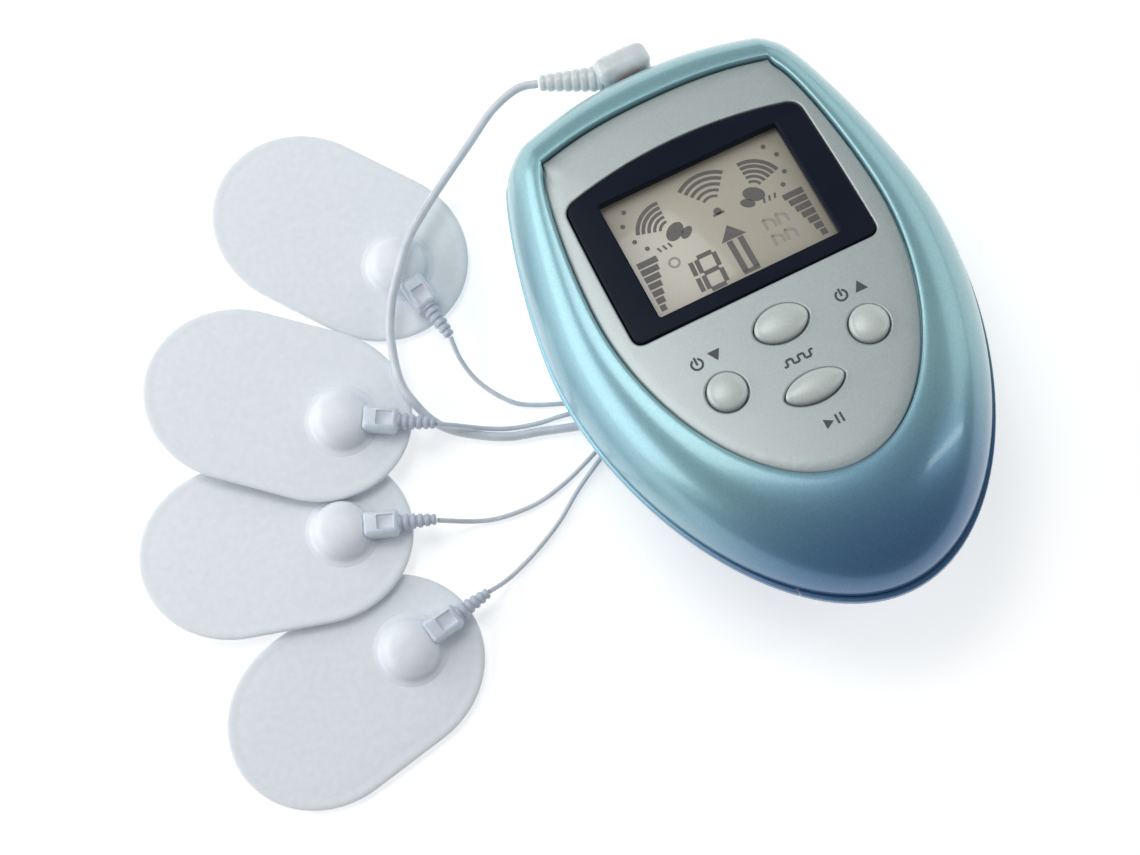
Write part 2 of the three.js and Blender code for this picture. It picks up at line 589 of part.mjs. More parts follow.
function plugPin() {
  const { pinRadius, pinLength } = JACK;
  const profile = [
    [0, 0], [0, pinRadius], [pinLength - 3.2, pinRadius], [pinLength - 2.8, 1.2],
    [pinLength - 1.6, pinRadius], [pinLength, 0.6], [pinLength, 0],
  ];
  const rearY = PLUG_HEAD.y - PLUG_HEAD.depth / 2 - GAP;
  return turnedAlongX(profile, 16).rotateZ(-Math.PI / 2).translate(JACK.x, rearY, JACK.z);
}

addPart(plug, 'plug_body', plugBody(), MATERIALS.connector);
addPart(plug, 'plug_pin', plugPin(), MATERIALS.metal);

// ---------------------------------------------------------------- cords
const cords = new THREE.Group();

// a flat block that narrows at both ends, where the trunk becomes four leads
function splitter() {
  const { x, y, angle, length, nose, width, height } = SPLITTER;
  const half = length / 2 - nose;
  const outline = [
    [-half - nose, -width * 0.3], [-half, -width / 2], [half, -width / 2], [half + nose, -width * 0.22],
    [half + nose, width * 0.22], [half, width / 2], [-half, width / 2], [-half - nose, width * 0.3],
  ].map(([along, across]) => new THREE.Vector2(along, across));
  const body = loft([
    { outline: inset(outline, 0.5), z: 0.05 }, { outline, z: 0.6 }, { outline, z: height - 0.6 },
    { outline: inset(outline, 0.5), z: height },
  ]);
  return body.rotateZ(degrees(angle)).translate(x, y, 0);
}

addPart(cords, 'trunk_cable', cordTube(TRUNK_ROUTE, TRUNK_DIAMETER, TRUNK_STEPS), MATERIALS.cord);
addPart(cords, 'trunk_coil', coilRing(TRUNK_COIL), MATERIALS.cord);
addPart(cords, 'lead_splitter', splitter(), MATERIALS.connector);
addPart(cords, 'lead_coil', coilRing(LEAD_COIL), MATERIALS.cord);
LEAD_ROUTES.forEach((route, i) => {
  addPart(cords, `lead_${i + 1}`, cordTube(route, LEAD_DIAMETER, LEAD_STEPS), MATERIALS.cord);
});

// ---------------------------------------------------------------- pads and their connectors
// an oblong with long elliptical ends
function padOutline(shrink) {
  const straight = PAD.halfLength - PAD.endLength;
  const quarter = 9;
  const end = (side) => Array.from({ length: 2 * quarter + 1 }, (_, i) => {
    const turn = (i / (2 * quarter) - 0.5) * Math.PI;
    const x = straight + (PAD.endLength - shrink) * Math.cos(turn);
    const y = (PAD.halfWidth - shrink) * Math.sin(turn);
    return new THREE.Vector2(side * x, side * y);
  });
  return [...end(1), ...end(-1)];
}

const padTop = PAD.gel + LAMINATE_GAP + PAD.film;
const domeBase = padTop + LAMINATE_GAP;

function padFilm() {
  const low = PAD.gel + LAMINATE_GAP;
  return loft([
    { outline: padOutline(0.2), z: low }, { outline: padOutline(0), z: low + 0.25 },
    { outline: padOutline(0), z: padTop - 0.3 }, { outline: padOutline(0.35), z: padTop },
  ]);
}

const padGel = () => prism(padOutline(PAD.gelInset), 0, PAD.gel);

// a low dome, larger all over by the given amount
function domeSolid(grow) {
  const radius = DOME.radius + grow;
  const profile = [[0, -grow], [radius, -grow], [radius, 0.5]];
  const rise = DOME.height + grow - 0.5;
  const steps = 5;
  for (let step = 1; step <= steps; step += 1) {
    const turn = (step / steps) * (Math.PI / 2);
    profile.push([step === steps ? 0 : radius * Math.cos(turn * 0.98 + 0.03), 0.5 + rise * Math.sin(turn)]);
  }
  const points = profile.map(([across, z]) => new THREE.Vector2(across, z));
  return new THREE.LatheGeometry(points, 24).rotateX(Math.PI / 2);
}

// the dome on a pad, with a socket in its side, which faces +X
function padDome() {
  const dome = domeSolid(0);
  const bore = rod(DOME.boreRadius, DOME.boreStart, DOME.radius + 4, 12);
  return cut(dome, bore.translate(0, 0, DOME.socketZ));
}

// a moulded block that fits against the dome and carries the pin, with a ribbed boot behind it
function connectorBody() {
  const { start, length, width, height, bootLength, ribs } = CONNECTOR;
  const body = new RoundedBoxGeometry(length, width, height, 1, 0.6).translate(start + length / 2, 0, 0);
  const boot = turnedAlongX(ribbedProfile(bootLength + 0.6, 1.65, 1.05, ribs), 10);
  const bore = rod(PIN.radius + GAP, start - 1, PIN.end + GAP, 12);
  const dome = domeSolid(GAP).translate(0, 0, -DOME.socketZ);
  return cut(join(body, boot.translate(start + length - 0.6, 0, 0)), bore, dome);
}

function connectorPin() {
  const { radius, start, end } = PIN;
  return turnedAlongX([[start, 0], [start + 0.5, radius], [end, radius], [end, 0]], 12);
}

const pads = new THREE.Group();
PADS.forEach(({ x, y, angle, lift, tilt, pinAngle }, i) => {
  const place = new THREE.Group();
  place.position.set(x, y, 0);
  place.rotation.z = degrees(angle);
  const lean = new THREE.Group();
  lean.position.set(0, PAD.halfWidth, lift);
  lean.rotation.x = degrees(tilt);
  const flat = new THREE.Group();
  flat.position.set(0, -lean.position.y, 0);
  const fitting = new THREE.Group();
  fitting.position.set(DOME.offset, 0, domeBase);
  fitting.rotation.z = degrees(pinAngle - angle);
  const inSocket = new THREE.Group();
  inSocket.position.set(0, 0, DOME.socketZ);
  pads.add(place);
  place.add(lean);
  lean.add(flat);
  flat.add(fitting);
  fitting.add(inSocket);
  addPart(flat, `pad_gel_${i + 1}`, padGel(), MATERIALS.gel);
  addPart(flat, `pad_film_${i + 1}`, padFilm(), MATERIALS.pad);
  addPart(fitting, `pad_dome_${i + 1}`, padDome(), MATERIALS.pad);
  addPart(inSocket, `connector_${i + 1}`, connectorBody(), MATERIALS.connector);
  addPart(inSocket, `connector_pin_${i + 1}`, connectorPin(), MATERIALS.metal);
});

const tensUnit = new THREE.Group();
tensUnit.add(controller, plug, cords, pads);

export default tensUnit;
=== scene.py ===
"""Looks of the four-pad nerve stimulation massager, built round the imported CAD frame.

Shapes are written in millimetres, in the frame of the piece that they belong to, and
are turned into metres in the shared frame as each mesh is made.
"""
import math
from types import SimpleNamespace as Spec

import bmesh
import bpy
import numpy as np
from mathutils import Matrix, Vector
from mathutils.geometry import delaunay_2d_cdt


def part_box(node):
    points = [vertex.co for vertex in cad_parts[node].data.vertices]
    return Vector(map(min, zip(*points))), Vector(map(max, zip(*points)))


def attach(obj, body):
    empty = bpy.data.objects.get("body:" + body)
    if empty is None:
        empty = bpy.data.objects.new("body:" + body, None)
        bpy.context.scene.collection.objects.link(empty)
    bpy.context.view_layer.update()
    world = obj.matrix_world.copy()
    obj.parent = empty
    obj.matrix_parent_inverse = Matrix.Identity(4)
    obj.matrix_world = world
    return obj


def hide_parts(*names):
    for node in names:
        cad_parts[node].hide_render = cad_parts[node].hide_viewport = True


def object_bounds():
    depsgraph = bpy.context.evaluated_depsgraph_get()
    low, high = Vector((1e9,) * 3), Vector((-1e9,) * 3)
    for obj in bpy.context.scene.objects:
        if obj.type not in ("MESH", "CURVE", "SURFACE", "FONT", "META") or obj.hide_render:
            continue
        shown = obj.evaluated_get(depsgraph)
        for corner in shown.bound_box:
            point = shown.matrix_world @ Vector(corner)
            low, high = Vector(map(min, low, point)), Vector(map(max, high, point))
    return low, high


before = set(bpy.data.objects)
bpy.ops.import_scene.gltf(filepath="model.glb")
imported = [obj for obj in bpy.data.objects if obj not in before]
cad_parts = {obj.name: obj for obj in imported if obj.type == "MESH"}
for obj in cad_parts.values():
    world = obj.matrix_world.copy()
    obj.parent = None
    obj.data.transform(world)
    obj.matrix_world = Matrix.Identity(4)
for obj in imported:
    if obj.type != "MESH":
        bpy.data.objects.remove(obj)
cad_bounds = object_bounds()
MM = 0.001
LEAD_SET, CONTROLLER, COVER = "lead_set", "controller", "battery_cover"


link = bpy.context.scene.collection.objects.link


# ---- places in the frame
def box_centre(node):
    low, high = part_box(node)
    return Vector([(a + b) / 2 for a, b in zip(low, high)])


def shifted(place, x=0, y=0, z=0):
    """The given frame moved by millimetres along its own axes."""
    return place @ Matrix.Translation(Vector((x, y, z)) * MM)


def turn_by(degrees, axis="Z"):
    return Matrix.Rotation(math.radians(degrees), 4, axis)


BOARD_CENTRE = Vector((0, 3.8, 15.4)) * MM  # middle of the main board, in the case's frame
CASE_LEAN = -10  # degrees about X: the lower end is raised
case_turn = turn_by(CASE_LEAN, "X")
case_place = Matrix.Translation(box_centre("main_board") - case_turn @ BOARD_CENTRE) @ case_turn

# each pad's turn about Z, lean about X and connector's direction, in degrees
PAD_TURNS = [(-53.6, 0, -81), (-41.6, -3, -30), (-15.6, -3.9, -21), (11.2, 0, 9.5)]
GEL_THICK, FILM_BASE = 0.6, 0.7
DOME_OFFSET, DOME_BASE, SOCKET_Z = 13.2, 1.7, 2.3


def pad_place(index):
    """The frame of a pad: its middle on the underside of the gel, length along X."""
    angle, tilt, _ = PAD_TURNS[index]
    turn = turn_by(angle) @ turn_by(tilt, "X")
    middle = box_centre(f"pad_gel_{index + 1}")
    return shifted(Matrix.Translation(middle) @ turn, z=-GEL_THICK / 2)


def fitting_place(index):
    """The frame of a pad's dome: X points out along the connector's pin."""
    angle, _, pin_angle = PAD_TURNS[index]
    turn = turn_by(pin_angle - angle)
    return shifted(pad_place(index), DOME_OFFSET, z=DOME_BASE) @ turn


# ---- camera
LOOK_AT = Vector((2.1, -12.2, 12)) * MM
VIEW_AZIMUTH, VIEW_ELEVATION = math.radians(-26.3), math.radians(76.5)
VIEW_DISTANCE = 0.541
back = Vector((math.sin(VIEW_AZIMUTH) * math.cos(VIEW_ELEVATION),
               -math.cos(VIEW_AZIMUTH) * math.cos(VIEW_ELEVATION), math.sin(VIEW_ELEVATION)))
camera_data = bpy.data.cameras.new("camera")
camera_data.sensor_width = 36
camera_data.lens = 88.42
camera_data.clip_start = 0.01
camera = bpy.data.objects.new("camera", camera_data)
camera.location = LOOK_AT + back * VIEW_DISTANCE
camera.rotation_euler = (-back).to_track_quat("-Z", "Y").to_euler()
link(camera)
bpy.context.scene.camera = camera


# ---- materials
def node_tree(name):
    material = bpy.data.materials.new(name)
    material.use_nodes = True
    nodes, links = material.node_tree.nodes, material.node_tree.links
    return material, nodes, links, nodes["Principled BSDF"]


def put(node, **values):
    """Sets a node's inputs. An underscore stands for each space in a name."""
    for key, value in values.items():
        node.inputs[key.replace("_", " ")].default_value = value


def ramp(nodes, stops):
    node = nodes.new("ShaderNodeValToRGB")
    elements = node.color_ramp.elements
    while len(elements) < len(stops):
        elements.new(0.5)
    for element, (position, value) in zip(elements, stops):
        element.position = position
        element.color = (*value, 1) if len(value) == 3 else value
    return node


def vary_roughness(nodes, links, shader, source, low, high):
    rough = nodes.new("ShaderNodeMapRange")
    put(rough, To_Min=low, To_Max=high)
    links.new(source, rough.inputs["Value"])
    links.new(rough.outputs["Result"], shader.inputs["Roughness"])


def surface(name, low, high, roughness, rough_range=0.06, scale=900, bump=0.05, bump_scale=None,
            metallic=0.0, distance=0.00005, **fixed):
    """A moulded or woven finish: the colour, roughness and relief all wander a little."""
    material, nodes, links, shader = node_tree(name)
    where = nodes.new("ShaderNodeTexCoord")
    noise = nodes.new("ShaderNodeTexNoise")
    put(noise, Scale=scale, Detail=4)
    links.new(where.outputs["Object"], noise.inputs["Vector"])
    colour = ramp(nodes, [(0.3, low), (0.7, high)])
    links.new(noise.outputs["Fac"], colour.inputs["Fac"])
    links.new(colour.outputs["Color"], shader.inputs["Base Color"])
    vary_roughness(nodes, links, shader, noise.outputs["Fac"],
                   roughness - rough_range, roughness + rough_range)
    relief = nodes.new("ShaderNodeTexNoise")
    put(relief, Scale=bump_scale or scale * 2, Detail=3)
    links.new(where.outputs["Object"], relief.inputs["Vector"])
    bumps = nodes.new("ShaderNodeBump")
    put(bumps, Strength=bump, Distance=distance)
    links.new(relief.outputs["Fac"], bumps.inputs["Height"])
    links.new(bumps.outputs["Normal"], shader.inputs["Normal"])
    put(shader, Metallic=metallic, **fixed)
    return material


# Painted light: between these two places the shell's colour goes from a lighter sky blue, painted on the lit
# left side, to teal.
PEARL_PAINTED_LIGHT_X, PEARL_TEAL_X = -0.034, 0.022  # metres across the frame
PEARL_FLAKES = 3500  # per metre
PEARL_ROUGHNESS = (0.26, 0.36)


def pearl(name, painted_light_sky, teal, painted_shade_deep, y_painted_shade_end, y_painted_shade_full):
    """Pearl paint over plastic with fine flakes. Painted light makes the lit left side a lighter sky blue,
    turning to teal across, and painted shade makes it deeper at the lower end.
    """
    material, nodes, links, shader = node_tree(name)
    where = nodes.new("ShaderNodeTexCoord")
    split = nodes.new("ShaderNodeSeparateXYZ")
    links.new(where.outputs["Object"], split.inputs["Vector"])

    def fade_along(axis, start, end):
        fade = nodes.new("ShaderNodeMapRange")
        fade.interpolation_type = "SMOOTHSTEP"
        put(fade, From_Min=start, From_Max=end)
        links.new(split.outputs[axis], fade.inputs["Value"])
        return fade.outputs["Result"]

    def colour_mix(**fixed):
        mix = nodes.new("ShaderNodeMix")
        mix.data_type = "RGBA"
        for key, colour in fixed.items():
            mix.inputs[key].default_value = (*colour, 1)
        return mix

    # Painted light: the left side gets a lighter sky blue, fading to teal towards the right.
    painted_light_hue = colour_mix(A=painted_light_sky, B=teal)
    links.new(fade_along("X", PEARL_PAINTED_LIGHT_X, PEARL_TEAL_X), painted_light_hue.inputs["Factor"])
    # Painted shade: the colour darkens towards the lower end of the case.
    mix = colour_mix(A=painted_shade_deep)
    links.new(painted_light_hue.outputs["Result"], mix.inputs["B"])
    links.new(fade_along("Y", y_painted_shade_full, y_painted_shade_end), mix.inputs["Factor"])
    flakes = nodes.new("ShaderNodeTexVoronoi")
    put(flakes, Scale=PEARL_FLAKES)
    links.new(where.outputs["Object"], flakes.inputs["Vector"])
    tint = ramp(nodes, [(0.0, (0.90, 0.90, 0.90)), (1.0, (1.08, 1.08, 1.08))])
    links.new(flakes.outputs["Color"], tint.inputs["Fac"])
    multiply = colour_mix()
    multiply.blend_type = "MULTIPLY"
    put(multiply, Factor=0.8)
    links.new(mix.outputs["Result"], multiply.inputs["A"])
    links.new(tint.outputs["Color"], multiply.inputs["B"])
    links.new(multiply.outputs["Result"], shader.inputs["Base Color"])
    vary_roughness(nodes, links, shader, flakes.outputs["Distance"], *PEARL_ROUGHNESS)
    put(shader, Metallic=0.45, Coat_Weight=0.6, Coat_Roughness=0.12)
    return material


# Both shells carry painted light, sky blue on the left side, and painted shade, a deep colour at the lower
# end.
SHELL_BLUE = pearl("pearl_painted_light_blue", painted_light_sky=(0.30, 0.53, 0.78), teal=(0.25, 0.46, 0.50), painted_shade_deep=(0.06, 0.165, 0.32),
                   y_painted_shade_end=-0.030, y_painted_shade_full=-0.066)
SHELL_LIP = pearl("pearl_painted_light_blue_rear", painted_light_sky=(0.24, 0.48, 0.66), teal=(0.22, 0.44, 0.50),
                  painted_shade_deep=(0.035, 0.12, 0.26), y_painted_shade_end=-0.014, y_painted_shade_full=-0.058)
PLATE_GREY = surface("plate_silver", (0.40, 0.455, 0.46), (0.46, 0.51, 0.51), 0.34, scale=2600, bump=0.10,
                     metallic=0.35, Coat_Weight=0.3, Coat_Roughness=0.2)
WINDOW_BLACK = surface("window_black", (0.008, 0.012, 0.022), (0.012, 0.016, 0.028), 0.16, 0.02, scale=60,
                       bump=0.02, Specular_IOR_Level=0.06)
LCD_BEIGE = surface("lcd_beige", (0.44, 0.41, 0.335), (0.49, 0.455, 0.38), 0.22, 0.04, scale=5200, bump=0.02,
                    Coat_Weight=0.4, Coat_Roughness=0.05)
LCD_INK = surface("lcd_ink", (0.105, 0.10, 0.095), (0.14, 0.132, 0.125), 0.30, scale=3000, bump=0.02)
LCD_GHOST = surface("lcd_ink_faint", (0.30, 0.28, 0.25), (0.34, 0.32, 0.29), 0.30, scale=3000, bump=0.02)
BUTTON_PEARL = surface("button_pearl", (0.53, 0.58, 0.56), (0.60, 0.65, 0.63), 0.34, 0.05, scale=2600,
                       bump=0.05, metallic=0.1, Coat_Weight=0.2, Coat_Roughness=0.3)
PRINT_INK = surface("printed_ink", (0.045, 0.055, 0.065), (0.065, 0.075, 0.085), 0.45, scale=3000, bump=0.05)
PAD_WHITE = surface("pad_film", (0.81, 0.86, 0.90), (0.86, 0.90, 0.94), 0.58, 0.05, scale=700, bump=0.2,
                    bump_scale=2600, distance=0.00006, Sheen_Weight=0.25, Sheen_Roughness=0.5)
DOME_WHITE = surface("pad_dome", (0.80, 0.84, 0.90), (0.85, 0.88, 0.93), 0.42, 0.05, scale=500, bump=0.06,
                     Coat_Weight=0.15)
GEL = surface("pad_gel", (0.66, 0.72, 0.76), (0.74, 0.79, 0.82), 0.16, 0.05, scale=240, bump=0.2,
              bump_scale=500, Transmission_Weight=0.2)
CONNECTOR_WHITE = surface("connector_vinyl", (0.66, 0.70, 0.78), (0.76, 0.79, 0.86), 0.30, 0.05, scale=600,
                          bump=0.05, Subsurface_Weight=0.15, Coat_Weight=0.3)
BOOT_GREY = surface("boot_vinyl", (0.50, 0.54, 0.64), (0.58, 0.62, 0.71), 0.42, 0.05, scale=900, bump=0.08)
CORD_LILAC = surface("cord_vinyl", (0.62, 0.655, 0.71), (0.71, 0.745, 0.80), 0.34, 0.06, scale=400, bump=0.08,
                     Coat_Weight=0.25)
PLUG_GREY = surface("plug_vinyl", (0.58, 0.64, 0.66), (0.68, 0.74, 0.76), 0.32, 0.05, scale=500, bump=0.06,
                    Subsurface_Weight=0.1, Coat_Weight=0.3)
NICKEL = surface("nickel", (0.62, 0.61, 0.58), (0.72, 0.71, 0.68), 0.22, 0.08, scale=1500, bump=0.05,
                 metallic=1.0)
BOARD_GREEN = surface("circuit_board", (0.02, 0.16, 0.06), (0.03, 0.22, 0.09), 0.38, scale=700, bump=0.15)
CHIP_BLACK = surface("moulded_resin", (0.02, 0.02, 0.022), (0.035, 0.035, 0.038), 0.5, scale=1800, bump=0.2)
COPPER = surface("enamelled_winding", (0.45, 0.16, 0.07), (0.60, 0.24, 0.10), 0.35, scale=900, bump=0.3,
                 metallic=0.7)
CELL_SLEEVE = surface("cell_sleeve", (0.05, 0.07, 0.09), (0.08, 0.10, 0.12), 0.28, scale=500, bump=0.05,
                      metallic=0.3)
RUBBER_GREY = surface("silicone_rubber", (0.55, 0.55, 0.57), (0.62, 0.62, 0.64), 0.6, scale=1200, bump=0.2)
FRAME_WHITE = surface("moulded_frame", (0.72, 0.72, 0.69), (0.79, 0.79, 0.76), 0.5, scale=1200, bump=0.1)
FLOOR_WHITE = surface("floor", (0.90, 0.90, 0.90), (0.915, 0.915, 0.915), 0.75, 0.03, scale=40, bump=0.0,
                      Emission_Color=(1, 1, 1, 1), Emission_Strength=0.45)


# ---- making meshes
MIN_RADIUS = 1e-3  # a profile's point on the axis becomes a ring of this size


def add(name, verts, faces, material, body, place=None, angle=35):
    """A mesh piece from points in millimetres in the frame `place`, smooth below the given edge angle."""
    place = place or Matrix.Identity(4)
    mesh = bpy.data.meshes.new(name)
    mesh.from_pydata([place @ (Vector(v) * MM) for v in verts], [], [list(f) for f in faces])
    mesh.validate()
    finish_mesh(mesh, angle)
    piece = bpy.data.objects.new(name, mesh)
    link(piece)
    mesh.materials.append(material)
    if body:
        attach(piece, body)
    return piece


def finish_mesh(mesh, angle):
    work = bmesh.new()
    work.from_mesh(mesh)
    bmesh.ops.remove_doubles(work, verts=work.verts, dist=1e-7)
    bmesh.ops.recalc_face_normals(work, faces=work.faces)
    work.to_mesh(mesh)
    work.free()
    mesh.polygons.foreach_set("use_smooth", [True] * len(mesh.polygons))
    mesh.set_sharp_from_angle(angle=math.radians(angle))


def cut(piece, tool, operation="DIFFERENCE", angle=35):
    """Applies a boolean to a piece and throws the tool away."""
    modifier = piece.modifiers.new("cut", "BOOLEAN")
    modifier.operation = operation
    modifier.solver = "EXACT"
    modifier.object = tool
    bpy.context.view_layer.update()
    mesh = bpy.data.meshes.new_from_object(piece.evaluated_get(bpy.context.evaluated_depsgraph_get()))
    piece.modifiers.clear()
    piece.data = mesh
    bpy.data.objects.remove(tool, do_unlink=True)
    finish_mesh(mesh, angle)


def loft(rings, close=False):
    """(verts, faces) of a skin over rings of 3-D points, each with the same number of points."""
    count = len(rings[0])
    verts = [tuple(p) for ring in rings for p in ring]
    faces = []
    last = len(rings) if close else len(rings) - 1
    for r in range(last):
        a, b = r * count, ((r + 1) % len(rings)) * count
        for i in range(count):
            j = (i + 1) % count
            faces.append((a + i, a + j, b + j, b + i))
    if not close:
        faces.append(tuple(range(count - 1, -1, -1)))
        faces.append(tuple(range((len(rings) - 1) * count, len(rings) * count)))
    return verts, faces


def flat_ring(outline, z):
    return [(x, y, z) for x, y in outline]


def turned(profile, sides, axis="Z"):
    """A lathe body: profile points are (distance along the axis, radius)."""
    rings = []
    for along, radius in profile:
        radius = max(radius, MIN_RADIUS)
        ring = []
        for i in range(sides):
            t = 2 * math.pi * i / sides
            u, v = radius * math.cos(t), radius * math.sin(t)
            ring.append({"Z": (u, v, along), "X": (along, u, v), "Y": (v, along, u)}[axis])
        rings.append(ring)
    return loft(rings)


def rounded(profile, times=2):
    """Cuts the corners of an open profile, so that its edges are small radii."""
    for _ in range(times):
        out = [profile[0]]
        for (x0, y0), (x1, y1) in zip(profile, profile[1:]):
            out += [(0.75 * x0 + 0.25 * x1, 0.75 * y0 + 0.25 * y1),
                    (0.25 * x0 + 0.75 * x1, 0.25 * y0 + 0.75 * y1)]
        profile = out + [profile[-1]]
    return profile


def tube(name, start, end, radius, sides, axis, material, body, place):
    """A plain round bar along one axis. One that rides on no body is a tool to cut with."""
    profile = [(start, 0), (start, radius), (end, radius), (end, 0)]
    return add(name, *turned(profile, sides, axis), material, body, place)


def block(low, high):
    (x0, y0, z0), (x1, y1, z1) = low, high
    verts = [(x, y, z) for z in (z0, z1) for y in (y0, y1) for x in (x0, x1)]
    return verts, [(0, 2, 3, 1), (4, 5, 7, 6), (0, 1, 5, 4), (2, 6, 7, 3), (0, 4, 6, 2), (1, 3, 7, 5)]


def soft_box(length, width, height, radius, steps):
    """A box with rounded edges and flat faces, centred on the origin."""
    n = 4 * steps
    sizes = Vector((length / 2 - radius, width / 2 - radius, height / 2 - radius))
    rings = []
    for i in range(2 * steps + 2):
        tilt = -math.pi / 2 + math.pi * (i if i <= steps else i - 1) / (2 * steps)
        side = -1 if i <= steps else 1
        ring = []
        for k in range(n + 4):
            quarter, step = divmod(k, steps + 1)
            t = math.pi / 2 * (quarter + step / steps)
            sx = 1 if quarter in (0, 3) else -1
            sy = 1 if quarter in (0, 1) else -1
            ring.append((sx * sizes.x + radius * math.cos(tilt) * math.cos(t),
                         sy * sizes.y + radius * math.cos(tilt) * math.sin(t),
                         side * sizes.z + radius * math.sin(tilt)))
        rings.append(ring)
    return loft(rings)


def soft_piece(name, size, steps, middle, material, body, place):
    """A soft box of the given length, width, height and edge radius, with its middle at a point."""
    verts, faces = soft_box(*size, steps)
    verts = [(x + middle[0], y + middle[1], z + middle[2]) for x, y, z in verts]
    return add(name, verts, faces, material, body, place)


# ---- outlines of the case
CASE_OUTLINE = Spec(bottom=-61, bottom_pull=22, half_width=41.2, widest_y=4.8, lower_pull=32, upper_pull=13.2,
                    shoulder=(31.5, 49.2), lean=(3.6, 7.3), corner=(24.9, 54.8), corner_pull=1.9, top=58.8,
                    crown_pull=9.7)
PLATE_OUTLINE = Spec(bottom=-39, bottom_pull=17.4, half_width=30.2, widest_y=8.7, lower_pull=22.6,
                     upper_pull=11.4, shoulder=(25.4, 42.1), lean=(2.4, 4.1), corner=(24.6, 44.5),
                     corner_pull=0.3, top=47.6, crown_pull=8.5)
BACK_SCALE = (0.79, 0.829)
CORNER_FALL = 0.3  # slope of the outline on both sides of its upper corners
PARTING, RIM, PLATE_SEAT, PLATE_TOP, GAP, WALL = 9, 23.4, 20.6, 22.8, 0.3, 2


def bezier(p, steps):
    t = np.linspace(0, 1, steps, endpoint=False)[:, None]
    p = np.array(p, float)
    return (1 - t) ** 3 * p[0] + 3 * (1 - t) ** 2 * t * p[1] + 3 * (1 - t) * t ** 2 * p[2] + t ** 3 * p[3]


def egg(f, steps=(36, 22, 12, 20)):
    """A closed outline, symmetrical about Y, as an array of points from its lowest one."""
    (sx, sy), (dx, dy), (cx, cy) = f.shoulder, f.lean, f.corner
    curves = [
        [(0, f.bottom), (f.bottom_pull, f.bottom),
         (f.half_width, f.widest_y - f.lower_pull), (f.half_width, f.widest_y)],
        [(f.half_width, f.widest_y), (f.half_width, f.widest_y + f.upper_pull),
         (sx + dx, sy - dy), (sx, sy)],
        [(sx, sy), (sx - dx / 4, sy + dy / 4),
         (cx + f.corner_pull, cy - f.corner_pull * CORNER_FALL), (cx, cy)],
        [(cx, cy), (cx - f.crown_pull, cy + f.crown_pull * CORNER_FALL),
         (f.crown_pull, f.top), (0, f.top)],
    ]
    right = np.vstack([bezier(c, n) for c, n in zip(curves, steps)] + [[(0, f.top)]])
    left = right[1:-1][::-1] * (-1, 1)
    return np.vstack([right, left])


def inset(outline, distance):
    along = np.roll(outline, -1, 0) - np.roll(outline, 1, 0)
    along /= np.linalg.norm(along, axis=1)[:, None]
    return outline + np.stack([-along[:, 1], along[:, 0]], 1) * distance


def scaled(outline, share_x, share_y, middle=0):
    return (outline - (0, middle)) * (share_x, share_y) + (0, middle)


def mix_lines(a, b, share):
    return a + (b - a) * share


case_line, plate_line = egg(CASE_OUTLINE), egg(PLATE_OUTLINE)
back_line = scaled(case_line, *BACK_SCALE)
PLATE_MIDDLE = 4


def plate_share(x, y):
    """0 at the plate's middle and 1 on its outline."""
    q = plate_line - (0, PLATE_MIDDLE)
    turns = np.unwrap(np.arctan2(q[:, 1], q[:, 0]))
    here = math.atan2(y - PLATE_MIDDLE, x)
    while here < turns[0]:
        here += 2 * math.pi
    radii = np.linalg.norm(q, axis=1)
    edge = np.interp(here, np.append(turns, turns[0] + 2 * math.pi), np.append(radii, radii[0]))
    return np.linalg.norm((x, y - PLATE_MIDDLE)) / edge


def plate_height(x, y):
    """The plate's top: faintly domed, and turned down over the last few hundredths of its width."""
    share = plate_share(x, y)
    return PLATE_TOP + 0.02 - 0.3 * share ** 4 - 0.45 * max(0.0, (share - 0.955) / 0.045) ** 2


# ---- cords
TRUNK_D, LEAD_D = 1.8, 1.0
TRUNK_COIL = Spec(x=55, y=-40.1, radii=(11.4, 9.6), low=0.95, layers=6, turns=11, start=70)
LEAD_COIL = Spec(x=26.1, y=-18.2, radii=(7.6, 6.55, 5.5, 4.45), low=0.6, rise=1.05, turns=4)
TANGENT = math.radians(-65.8)  # from the lead coil towards the splitter
SPLITTER = Spec(start=11.6, end=22.4, z=1.85, aside=6)
SPLITTER_HOLD = 0.6  # how far each cord reaches into the splitter
TRUNK_ROUTE = [
    (28.2, 55.1, 7.9), (24.6, 56.1, 7.75), (18.2, 54.6, 7.4), (10, 49.9, 6.9), (2.4, 45.4, 6.7),
    (-3.4, 41.7, 6.9), (-9.3, 37.3, 7.3), (-13.4, 32.7, 7.4), (-15.4, 30.3, 7.1), (-17.3, 27.9, 6.5),
    (-20.3, 22.6, 5.7), (-21.6, 18.8, 5.3), (-22.7, 14.5, 5.1), (-23, 10.8, 5.1), (-22.4, 7.6, 4.9),
    (-20.9, 3.5, 3.4), (-18.5, 0.4, 1.9), (-14, -3, 1.1), (-8.3, -6.2, 1), (-2, -8.1, 1),
    (4.6, -10.3, 1.2), (9.6, -12, 2.6), (14.2, -13.6, 5), (18.4, -15.1, 6.6), (26, -17.8, 7),
    (34, -20.6, 7.8), (43, -23.8, 8.9), (52, -26.9, 9.7)]
